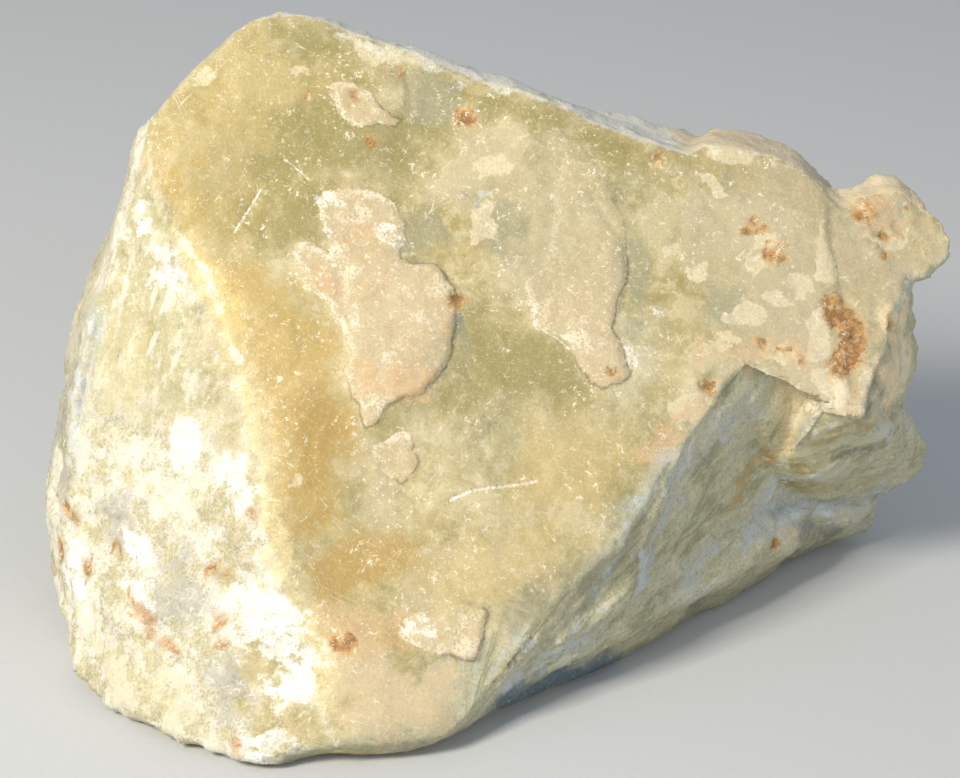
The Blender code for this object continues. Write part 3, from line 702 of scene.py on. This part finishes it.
CREAM_RIBS = [
    ([(48, 0.5, 40.5), (47.5, -2, 37.5), (48, -4.5, 33.5)], 0.9),
    ([(50.5, 1.5, 41), (51, -1.5, 37), (50.5, -3.5, 33.5)], 0.8),
    ([(57, 8.5, 44.5), (57.5, 8.5, 38.5), (57.5, 10, 32.5)], 1.1),
    ([(45.5, -3.5, 34.5), (43.5, -3, 34.5)], 1.2),
    ([(43.5, -3, 35), (42.5, -2.5, 32), (41, -0.5, 28), (40.5, 0.5, 25.5)], 0.2),
]
# Painted light: pale olive in the hollow under the right end's ledge, which would otherwise lie dark in
# shade.
PAINTED_HOLLOW_LIGHTS = [
    ([(41.5, 1.5, 25), (45.5, 1, 25.5), (50, 1, 27), (53.5, 4, 26.5)], 1.3),
    ([(41, 5, 20), (45, 5, 20.5)], 1.2),
]
PALE_SPOTS = [
    ([(53.5, 2, 27), (57.5, 8, 25)], 0.7),
    ([(59.5, 13.5, 24), (61, 13.5, 21.5)], 0.5),
    ([(39, 3.5, 11), (41, 4, 9.5)], 0.7),
    ([(4.5, -28.5, 12.5), (5, -28, 10)], 0.9),
]
DARK_FOLDS = [
    ([(47.5, 2.5, 23), (50, 3, 23.5), (53, 4.5, 23.5)], 0.25),
    ([(51, -2.5, 32), (52, -1.5, 36), (53.5, 1, 39)], 0.25),
    ([(45.5, 8.5, 9), (50, 15, 5.5)], 1.6),
    ([(28, -7, 5), (31, -3.5, 4)], 0.8),
]
# Painted shade, near black and blue-tinted, along the foot of the shaded face and in the crease under the
# lobe.
PAINTED_BLUE_SHADES = [
    ([(2.5, -29.5, 3), (6.5, -26.5, 2.5), (10.5, -23.5, 2), (16, -17.5, 1)], 2.6),
    ([(41, 6.5, 12.5), (47, 11, 11), (53, 16, 9.5)], 0.3),
]
# The warm cream of the right end, laid much paler than the stone as painted light where that end lies in
# shade.
WARM_ENDS_PAINTED_LIGHT = [
    ([(54, 4.5, 44), (55.5, 5, 39), (56.5, 7.5, 33.5), (56.5, 8.5, 29.5)], 1.6),
    ([(57, 7.5, 41), (58, 10, 35)], 1.2),
    ([(52.5, 0.5, 38.5), (54.5, 3.5, 34), (53.5, 2, 30.5)], 1.2),
]


RIBBON_DEPTH = 5.0  # mm above or below the skin that a chain may lie


def ribbons(chains, ragged=0.4):
    """Distance in mm from the side of the nearest of some bands along the stone, as (chain, half width)."""
    distance = np.full(len(points), FAR)
    stray = np.column_stack([lumps(3.0, 91.0), lumps(3.0, 93.0), lumps(3.0, 95.0)]) * ragged
    for chain, half_width in chains:
        for start, end in zip(chain, chain[1:]):
            run = np.subtract(end, start)
            share = np.clip((points - np.array(start)) @ run / (run @ run), 0.0, 1.0)
            away = points + stray - (np.array(start) + share[:, None] * run)
            lift = np.sum(away * outward, axis=1)
            flat_away = np.sqrt(np.maximum(np.sum(away * away, axis=1) - lift * lift, 0.0))
            near = np.abs(lift) < RIBBON_DEPTH
            distance = np.where(near, np.minimum(distance, flat_away - half_width), distance)
    return distance


fan_along = shade_along - FAN_ALONG
marks["fan_far"] = np.hypot(fan_along, shade_up)
turn = np.arctan2(shade_up, fan_along) + 0.035 * lumps(14.0, 75.0)
marks["fan_turn"] = turn * 40.0
fan = np.column_stack([turn * 8.0, marks["fan_far"] / 15.0, shade_out / 20.0])
fine_fan = np.column_stack([turn * 22.0, marks["fan_far"] / 9.0, shade_out / 20.0])
sheared = ramp(outward @ SHADE[1], 0.80, 0.93) * ramp(marks["fan_far"], 4.0, 16.0)
folds = FOLD_HEIGHT * np.abs(lumps(1.0, 71.0, fan)) + FINE_FOLD_HEIGHT * np.abs(lumps(1.0, 77.0, fine_fan, 2))
rise += sheared * (folds - FOLD_SINK)
marks["shear"] = ramp(outward @ SHADE[1], 0.55, 0.80)
capped = (marks["strip"] + marks["end"] > 0.2) & (points[:, 2] > 50.0)
# Painted shade: the shaded face is darkened towards its foot, within a few mm of the floor.
lay(
    "under", np.where(marks["shear"] > 0.2, points[:, 2] - 4.0, FAR),
    (0.22, 0.21, 0.13), 3.5, 1.0, 0.7, 0.2,
)
# Painted light: pale tan where the slab cut is deepest, lifting the recess out of its shade.
lay("broken", RECESS_LIGHT_DEPTH - cut, (0.80, 0.67, 0.43), 1.5, 0.8, 0.6, 0.3)
lay("tan_cap", np.where(capped, 26.0 - points[:, 0], FAR), (0.66, 0.53, 0.33), 1.5, 1.5, 0.85)
lay("painted_hollow_light", ribbons(PAINTED_HOLLOW_LIGHTS, 0.8), (0.60, 0.57, 0.34), 1.4, 1.2, 0.7, 0.2)
lay("warm_end_painted_light", ribbons(WARM_ENDS_PAINTED_LIGHT, 0.5), (0.92, 0.70, 0.40), 1.2, 1.6, 0.85, 0.2)
lay("painted_blue_shade", ribbons(PAINTED_BLUE_SHADES, 0.6), (0.045, 0.085, 0.115), 1.8, 0.9, 0.92)
lay("dark_fold", ribbons(DARK_FOLDS, 0.6), (0.17, 0.165, 0.115), 1.0, 1.5, 0.85, 0.2)
lay("blue_band", ribbons(BLUE_BANDS, 1.0), (0.47, 0.52, 0.54), 1.6, 1.2, 0.65, 0.35)
lay("blue", ribbons(BLUE_FOLDS, 0.6), (0.56, 0.60, 0.63), 0.5, 0.5, 0.85, 0.5)
lay("ochre", ribbons(OCHRES, 0.5), (0.42, 0.27, 0.07), 0.9, 1.2, 0.8, 0.4)
lay("cream_rib", ribbons(CREAM_RIBS, 0.5), (0.80, 0.66, 0.46), 0.6, 1.0, 0.8, 0.4)
lay("pale_spot", ribbons(PALE_SPOTS, 0.6), (0.62, 0.62, 0.56), 0.6, 1.4, 0.8, 0.7)
rise += 0.20 * ramp(-marks["blue"], -0.8, 0.2) + 0.20 * ramp(-marks["cream_rib"], -0.5, 0.3)
rise -= 0.25 * ramp(-np.minimum(marks["ochre"], marks["dark_fold"]), -0.6, 0.3)

# ---------------------------------------------------------------------------------------------
# Rust: iron stains, dark in the middle with an orange rim, as spots and one large patch by the
# right end. (across, up, radius) in mm.
FRONT_STAINS = [
    [(72, 53.5), (73.5, 54), (75, 52.5), (76, 51), (77, 50.5), (78, 49), (77, 48), (76.5, 46), (75.5, 44),
     (75, 43), (73.5, 43.5), (72, 43.5), (72, 45), (73, 47), (73, 49), (72, 50.5), (71.5, 52)],
]
FRONT_RUST = [
    (25, 82.5, 0.5), (10.5, 86.5, 0.5), (51, 75, 0.6), (82, 59, 0.9), (63.5, 64.5, 0.5), (62, 63.5, 0.4),
    (65, 60, 0.7), (66.5, 59.5, 0.6), (54, 42.5, 0.9), (55, 43.5, 0.6), (62, 48, 0.6), (64, 47, 0.7),
    (66, 46.5, 0.7), (67, 45, 0.5), (12, 79.5, 0.5), (4, 86.5, 0.3), (21.3, 57, 0.7), (41, 45.5, 0.3),
    (0.5, 13, 0.3), (1.8, 12, 0.4), (11, 45, 0.2), (17.5, 89, 0.3), (79, 65.5, 0.8), (85.5, 66, 0.7),
    (87.5, 63.5, 0.7), (81.5, 62, 0.8), (81, 49, 0.6),
]
LEFT_RUST = [
    ([(-22.5, 18), (-22, 20), (-21.5, 22.5), (-20.5, 23.5)], 0.65),
    ([(-24, 16.5), (-22.5, 17.5), (-20.5, 17)], 0.6),
    ([(-19.5, 20), (-18, 18.5)], 0.45),
    ([(-34.5, 11), (-33.5, 9), (-32, 8.5)], 0.35),
    ([(-20, 25), (-18.5, 24)], 0.4),
    ([(-31, 9), (-29, 7), (-29, 5.5)], 0.5),
    ([(-40, 15), (-38, 14)], 0.55),
    ([(-50.5, 18), (-48.5, 16.5)], 0.7),
    ([(-43.5, 12), (-43, 10.5)], 0.55),
    ([(-20, 6), (-18, 8)], 0.4),
    ([(-51.5, 12.5), (-50, 11)], 0.55),
    ([(-13, -2.5), (-11.5, -3.5)], 0.5),
    ([(-27, 5.5), (-24.5, 5.5)], 0.3),
    ([(-20, 9.5), (-19, 11)], 0.3),
]
STAIN_SPREAD = 0.7  # mm
RUST_ROUGHNESS = 1.3
RUST_DEPTH = 0.25  # mm
END_STAINS = [
    ([(39.5, 2, 9), (40.5, 3.5, 9)], 0.3),
]


def spots(face, places, ragged=0.8):
    """Distance in mm from the edge of the nearest of some round spots."""
    across, up, out = place_on(points, face)
    on_face = (np.abs(out) < FACE_DEPTH) & (outward @ face[1] > 0.2)
    distance = np.full(len(points), FAR)
    spot = points[on_face]
    across = across[on_face] + ragged * lumps(1.6, 81.0, spot)
    up = up[on_face] + ragged * lumps(1.6, 83.0, spot)
    for middle_across, middle_up, radius in places:
        away = np.hypot(across - middle_across, up - middle_up) - radius
        distance[on_face] = np.minimum(distance[on_face], away)
    return distance


marks["rust"] = np.minimum(spots(FRONT, FRONT_RUST), streaks(LEFT, LEFT_RUST, 0.9))
marks["rust"] = np.minimum(marks["rust"], patches(FRONT, FRONT_STAINS, 1.0) - STAIN_SPREAD)
marks["rust"] = np.minimum(marks["rust"], ribbons(END_STAINS, 0.5))
rise += ramp(-marks["rust"], -0.6, 0.4) * (RUST_ROUGHNESS * chips(1.9, 0.4, 4.0) - RUST_DEPTH)

# ---------------------------------------------------------------------------------------------
# Scratches: a few deep ones, white where the stone is crushed.
SCRATCH_GROOVE = 0.15  # mm
scratch = np.full(len(points), FAR)
for line, half_width in DEEP_SCRATCHES:
    scratch = np.minimum(scratch, line_distance(front_across, front_up, line) - half_width)
marks["scratch"] = np.where(np.abs(front_out) < SCRATCH_DEPTH, scratch, FAR)
rise -= SCRATCH_GROOVE * ramp(-marks["scratch"], -0.15, 0.15)
for name, across, up in (("front", front_across, front_up), ("left", left_across, left_up)):
    marks[name + "_across"] = across
    marks[name + "_up"] = up

# The relief goes onto the mesh. The sole stays flat, and nothing goes past the solid's box.
rise *= ramp(points[:, 2], 0.2, 1.5)
points = points + outward * rise[:, None]
lowest, highest = (np.array(corner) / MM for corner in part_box("serpentine"))
points = np.clip(points, lowest, highest)
lump_mesh.vertices.foreach_set("co", (points * MM).astype(np.float32).ravel())
for name in paint:
    marks[name] = -marks[name]  # from here on, mm inside the mark's edge
for name, values in marks.items():
    attribute = lump_mesh.attributes.new(name, "FLOAT", "POINT")
    attribute.data.foreach_set("value", values.astype(np.float32))
lump_mesh.update()
lump_mesh.shade_smooth()

# ---------------------------------------------------------------------------------------------
# The stone's material. Waxy olive-green rock, cloudy inside, with each face's own colour and the
# marks above laid over it.
OLIVE = (0.35, 0.28, 0.10)
PALE_OLIVE = (0.48, 0.385, 0.185)
TAN = (0.58, 0.47, 0.26)
DUST = (0.86, 0.80, 0.62)
FACE_COLOURS = {
    "left": (0.49, 0.445, 0.27),
    "shear": (0.49, 0.46, 0.30),
    "strip": (0.70, 0.70, 0.67),
    # Blue-grey, partly the stone's colour and partly painted cool shade.
    "side": (0.39, 0.45, 0.50),
    "high_side": (0.58, 0.54, 0.40),
    "end": (0.60, 0.55, 0.385),
    "back": (0.42, 0.39, 0.23),
}
STRAY_REACH = 8.0  # mm that an edge strays for each unit of raggedness
RUST_STRAY = 9.0  # mm
BUMP_DEPTH = 0.45  # mm

stone = bpy.data.materials.new("serpentine")
stone.use_nodes = True
tree = stone.node_tree
shader = tree.nodes["Principled BSDF"]
place = tree.nodes.new("ShaderNodeTexCoord").outputs["Object"]


def wire(value, socket):
    """Sets a socket, or links another socket to it. A colour is given as red, green and blue."""
    if isinstance(value, bpy.types.NodeSocket):
        tree.links.new(value, socket)
    else:
        socket.default_value = (*value, 1.0) if isinstance(value, tuple) else value


def sums(operation, first, second=0.0, third=0.0, clamp=False):
    node = tree.nodes.new("ShaderNodeMath")
    node.operation = operation
    node.use_clamp = clamp
    for socket, value in zip(node.inputs, (first, second, third)):
        wire(value, socket)
    return node.outputs[0]


def times(*values):
    result = values[0]
    for value in values[1:]:
        result = sums("MULTIPLY", result, value)
    return result


def cloud(size, detail=3.0, roughness=0.5):
    """A noise pattern of the given size in mm, from 0 to 1."""
    node = tree.nodes.new("ShaderNodeTexNoise")
    node.inputs["Scale"].default_value = 1000.0 / size
    node.inputs["Detail"].default_value = detail
    node.inputs["Roughness"].default_value = roughness
    tree.links.new(place, node.inputs["Vector"])
    return node.outputs["Fac"]


def mark(name):
    node = tree.nodes.new("ShaderNodeAttribute")
    node.attribute_name = name
    return node.outputs["Fac"]


def drawn_cloud(across, up, turn, size_across, size_up, detail=2.0, seed=0.0):
    """A noise pattern on a face, turned by some degrees and drawn out to the given sizes in mm."""
    joined = tree.nodes.new("ShaderNodeCombineXYZ")
    wire(mark(across), joined.inputs["X"])
    wire(mark(up), joined.inputs["Y"])
    rotate = tree.nodes.new("ShaderNodeMapping")
    rotate.inputs["Rotation"].default_value = (0.0, 0.0, math.radians(turn))
    tree.links.new(joined.outputs["Vector"], rotate.inputs["Vector"])
    squeeze = tree.nodes.new("ShaderNodeMapping")
    squeeze.inputs["Location"].default_value = (seed, seed, 0.0)
    squeeze.inputs["Scale"].default_value = (1.0 / size_across, 1.0 / size_up, 1.0)
    tree.links.new(rotate.outputs["Vector"], squeeze.inputs["Vector"])
    node = tree.nodes.new("ShaderNodeTexNoise")
    node.noise_dimensions = "2D"
    node.inputs["Scale"].default_value = 1.0
    node.inputs["Detail"].default_value = detail
    node.inputs["Roughness"].default_value = 0.6
    tree.links.new(squeeze.outputs["Vector"], node.inputs["Vector"])
    return node.outputs["Fac"]


def between(value, low, high, most=1.0):
    """0 where the value is below low, most where it is above high."""
    node = tree.nodes.new("ShaderNodeMapRange")
    node.interpolation_type = "SMOOTHSTEP"
    wire(value, node.inputs["Value"])
    node.inputs["From Min"].default_value = low
    node.inputs["From Max"].default_value = high
    wire(most, node.inputs["To Max"])
    return node.outputs["Result"]


def mix(base, colour, amount):
    node = tree.nodes.new("ShaderNodeMix")
    node.data_type = "RGBA"
    wire(amount, node.inputs["Factor"])
    wire(base, node.inputs["A"])
    wire(colour, node.inputs["B"])
    return node.outputs["Result"]


big_cloud = cloud(15.0, 5.0, 0.60)
ragged = cloud(6.0, 7.0, 0.68)
mottle = cloud(2.2, 5.0, 0.70)
grain = cloud(0.38, 3.0, 0.65)
front = mark("front")
left = mark("left")
shear = mark("shear")
crust = mark("crust")

# Body colour: olive, with paler and warmer clouds, then each face's own.
body = mix(OLIVE, PALE_OLIVE, between(big_cloud, 0.40, 0.62))


def coat(colour, *amounts):
    """Lays a colour over the body so far, as strongly as all the amounts together."""
    global body
    body = mix(body, colour, times(*amounts))


coat(TAN, between(ragged, 0.52, 0.66), 0.45)
for name, colour in FACE_COLOURS.items():
    coat(colour, mark(name), 0.85)
rear = mark("rear")
coat((0.30, 0.27, 0.13), rear, between(ragged, 0.49, 0.60), 0.55)
coat((0.62, 0.58, 0.42), rear, between(big_cloud, 0.53, 0.62), 0.45)
coat((0.24, 0.20, 0.07), between(mottle, 0.51, 0.68), 0.55)
coat((0.70, 0.62, 0.40), between(mottle, 0.49, 0.35), 0.45)
skin = sums("MULTIPLY_ADD", sums("SUBTRACT", mottle, 0.5), 0.9, mark("skin"))
coat((0.64, 0.54, 0.32), front, between(skin, 0.06, 0.12), 0.22)
coat((0.70, 0.60, 0.39), front, between(skin, 0.33, 0.37), 0.35)

# The left face: fine streaks along its height, then a crumbly white crust.
fibres = drawn_cloud("left_across", "left_up", 4.0, 1.8, 5.0, 4.0)
drawn = times(left, sums("SUBTRACT", 1.0, crust))
coat((0.76, 0.74, 0.63), drawn, between(fibres, 0.48, 0.66), 0.6)
coat((0.48, 0.42, 0.20), drawn, between(fibres, 0.48, 0.36), between(mottle, 0.40, 0.60), 0.6)
crumbs = sums("ADD", sums("ADD", times(mottle, 0.35), times(grain, 0.12)), times(ragged, 0.53))
coat((0.74, 0.72, 0.64), crust, between(crumbs, 0.43, 0.53), 0.82)
coat((0.38, 0.34, 0.25), crust, between(ragged, 0.50, 0.42), between(grain, 0.52, 0.42), 0.55)

# The shaded face: streaks along its fan of folds, blue-grey and ochre over olive.
drawn_fan = drawn_cloud("fan_turn", "fan_far", 0.0, 3.2, 14.0, 5.0)
fine_fan = drawn_cloud("fan_turn", "fan_far", 3.0, 0.9, 4.0, 3.0, 7.0)
coat((0.50, 0.53, 0.50), shear, between(drawn_fan, 0.55, 0.62), between(mottle, 0.40, 0.56), 0.6)
coat((0.25, 0.24, 0.12), shear, between(drawn_fan, 0.48, 0.38), 0.65)
coat((0.60, 0.58, 0.42), shear, between(fine_fan, 0.53, 0.62), 0.5)
coat((0.16, 0.16, 0.10), shear, between(grain, 0.47, 0.35), 0.3)

# The marks: each distance is roughened by a pattern, then cut to an edge, and some are broken up.
film = between(sums("ADD", times(mottle, 0.6), times(grain, 0.4)), 0.46, 0.54)
stray = sums("SUBTRACT", ragged, 0.5)
masks = {}
for name, (colour, soft, wander, strength, broken) in paint.items():
    strayed = sums("MULTIPLY_ADD", stray, STRAY_REACH * wander, mark(name))
    shows = sums("MULTIPLY_ADD", film, strength * broken, strength * (1.0 - broken)) if broken else strength
    masks[name] = between(strayed, -soft, soft, shows)
    if name == "cream":
        masks[name] = times(masks[name], mark("pale"))
    coat(colour, masks[name])
    if name == "cream":
        coat((0.52, 0.36, 0.18), masks[name], between(mottle, 0.49, 0.62), 0.7)
        coat((0.78, 0.70, 0.52), masks[name], between(ragged, 0.50, 0.40), film, 0.9)
        # Painted highlight along each plate's upper left rim, which faces the lamp, and painted shadow along
        # its lower right edge.
        upper_left = sums("SUBTRACT", mark("pale"), mark("lower_right"), clamp=True)
        painted_highlight_rim = times(between(strayed, -0.1, 0.15), between(strayed, 1.3, 0.4), upper_left)
        coat((0.84, 0.77, 0.60), painted_highlight_rim, film, 0.7)
        painted_shadow_rim = times(between(sums("ABSOLUTE", strayed), 0.24, 0.06), mark("lower_right"))
        coat((0.17, 0.115, 0.05), painted_shadow_rim, between(ragged, 0.36, 0.44), 0.6)

coat((0.20, 0.175, 0.13), masks["grey"], between(grain, 0.50, 0.38), 0.7)

# Rust: thin dark lines with orange between them, broken up by bare stone.
rusty = sums("SUBTRACT", times(stray, RUST_STRAY), mark("rust"))
bare = times(left, sums("SUBTRACT", 1.0, film))
rust = times(between(rusty, -0.7, 0.5), sums("MULTIPLY_ADD", bare, -0.55, 1.0))
rust_lines = times(rust, between(sums("ABSOLUTE", stray), 0.045, 0.015))
coat((0.60, 0.33, 0.09), rust, between(grain, 0.32, 0.50), 0.85)
coat((0.41, 0.195, 0.055), rust, between(rusty, 0.0, 0.8), sums("MULTIPLY_ADD", film, 0.25, 0.75), 0.95)
coat((0.62, 0.47, 0.28), rust, between(mottle, 0.53, 0.60), 0.7)
coat((0.22, 0.10, 0.03), rust, between(mottle, 0.46, 0.40), 0.75)
coat((0.24, 0.11, 0.03), rust_lines, 0.8)

coat((0.20, 0.16, 0.06), between(grain, 0.46, 0.30), 0.22)
coat((0.80, 0.73, 0.52), between(grain, 0.55, 0.70), 0.25)

# White dust: crushed grains in clusters, short dashes, and hair-fine scratches in three directions.
specks = cloud(0.9, 4.0, 0.80)
clustered = between(ragged, 0.42, 0.60)
dust = times(between(specks, 0.575, 0.635), sums("MULTIPLY_ADD", clustered, 0.85, 0.15))
dashes = drawn_cloud("front_across", "front_up", 12.0, 1.3, 0.32, 3.0)
dashed = times(front, between(dashes, 0.65, 0.70), between(mottle, 0.50, 0.60), clustered)
dust = sums("MAXIMUM", dust, dashed)
hairs = 0.0
for turn, seed, reach in ((28.0, 3.0, 22.0), (-42.0, 11.0, 18.0), (74.0, 23.0, 20.0)):
    drawn_out = drawn_cloud("front_across", "front_up", turn, reach, 1.3, 0.0, seed)
    hair = between(sums("ABSOLUTE", sums("SUBTRACT", drawn_out, 0.56)), 0.014, 0.004)
    shown = drawn_cloud("front_across", "front_up", turn, 6.0, 2.0, 1.0, seed + 5.0)
    hairs = sums("MAXIMUM", hairs, times(hair, between(shown, 0.60, 0.66)))
dust = sums("MAXIMUM", dust, times(hairs, front, between(mottle, 0.42, 0.56), 0.6))
chipped = cloud(2.6, 4.0, 0.74)
dust = sums("MAXIMUM", dust, times(front, between(chipped, 0.665, 0.685), 0.9))
# Less dust on the shaded face, and none in the painted blue shade.
dust = times(dust, sums("SUBTRACT", 0.85, times(shear, 0.6)), sums("SUBTRACT", 1.0, masks["painted_blue_shade"]))
coat(DUST, dust)
crushed = sums("SUBTRACT", times(sums("SUBTRACT", grain, 0.5), 0.5), mark("scratch"))
crushed = times(between(crushed, -0.07, 0.07), sums("MULTIPLY_ADD", film, 0.6, 0.4))
coat((0.84, 0.79, 0.68), crushed, 0.9)
tree.links.new(body, shader.inputs["Base Color"])

# Waxy where it is clean, dull on crust, plates and dust.
dull = sums("MAXIMUM", sums("MAXIMUM", crust, masks["cream"]), sums("MAXIMUM", rust, dust))
roughness = sums("MULTIPLY_ADD", dull, 0.25, sums("MULTIPLY_ADD", mottle, 0.35, 0.28), clamp=True)
tree.links.new(roughness, shader.inputs["Roughness"])
shader.inputs["IOR"].default_value = 1.56

# Fine relief under the size of the mesh.
uneven = sums("MULTIPLY_ADD", front, -0.5, 1.0)
relief = times(uneven, sums("MULTIPLY_ADD", grain, 0.22, times(mottle, 0.75)))
bump = tree.nodes.new("ShaderNodeBump")
bump.inputs["Strength"].default_value = 0.9
bump.inputs["Distance"].default_value = BUMP_DEPTH * MM
wire(relief, bump.inputs["Height"])
tree.links.new(bump.outputs["Normal"], shader.inputs["Normal"])
lump_mesh.materials.append(stone)

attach(lump, "root")
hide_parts("serpentine")

# ---------------------------------------------------------------------------------------------
# The floor: a plain pale sheet, far larger than the view.
FLOOR_SIZE = 3.0  # m

floor_mesh = bpy.data.meshes.new("floor")
bm = bmesh.new()
bmesh.ops.create_grid(bm, x_segments=1, y_segments=1, size=FLOOR_SIZE / 2)
bm.to_mesh(floor_mesh)
bm.free()
floor = bpy.data.objects.new("floor", floor_mesh)
bpy.context.scene.collection.objects.link(floor)
paper = bpy.data.materials.new("floor_paper")
paper.use_nodes = True
tree = paper.node_tree
place = tree.nodes.new("ShaderNodeTexCoord").outputs["Object"]
sheet = tree.nodes["Principled BSDF"]
wire(mix((0.52, 0.53, 0.54), (0.56, 0.57, 0.58), cloud(0.8, 2.0)), sheet.inputs["Base Color"])
sheet.inputs["Roughness"].default_value = 0.9
floor_mesh.materials.append(paper)

# ---------------------------------------------------------------------------------------------
# Light: a large soft lamp high on the left, a cool weak one on the right, and an even pale sky.
def lamp(name, power, size, colour, at, aim):
    light = bpy.data.lights.new(name, "AREA")
    light.energy = power
    light.size = size
    light.color = colour
    obj = bpy.data.objects.new(name, light)
    obj.location = at
    obj.rotation_euler = (Vector(aim) - Vector(at)).to_track_quat("-Z", "Y").to_euler()
    bpy.context.scene.collection.objects.link(obj)


middle = (0.0, 0.0, 0.035)
lamp("key", 5.9, 0.20, (1.0, 0.94, 0.82), (-0.41, -0.37, 0.495), middle)
lamp("fill", 1.2, 0.5, (0.85, 0.92, 1.0), (0.45, -0.55, 0.30), middle)
sky = bpy.data.worlds.new("sky")
sky.use_nodes = True
sky.node_tree.nodes["Background"].inputs["Color"].default_value = (0.85, 0.92, 1.0, 1.0)
sky.node_tree.nodes["Background"].inputs["Strength"].default_value = 0.45
bpy.context.scene.world = sky
bpy.context.scene.view_settings.view_transform = "Standard"

# ---------------------------------------------------------------------------------------------
# The camera looks down on the front face from a little over arm's length.
CAMERA_AIM = Vector((-1.48, -12.05, 41.0)) * MM
CAMERA_DISTANCE = 351 * MM
CAMERA_ELEVATION = math.radians(26)

camera = bpy.data.objects.new("camera", bpy.data.cameras.new("camera"))
camera.data.lens = 100
camera.data.sensor_width = 36
back_off = Vector((0.0, -math.cos(CAMERA_ELEVATION), math.sin(CAMERA_ELEVATION)))
camera.location = CAMERA_AIM + back_off * CAMERA_DISTANCE
camera.rotation_euler = (math.pi / 2 - CAMERA_ELEVATION, 0.0, 0.0)
bpy.context.scene.collection.objects.link(camera)
bpy.context.scene.camera = camera
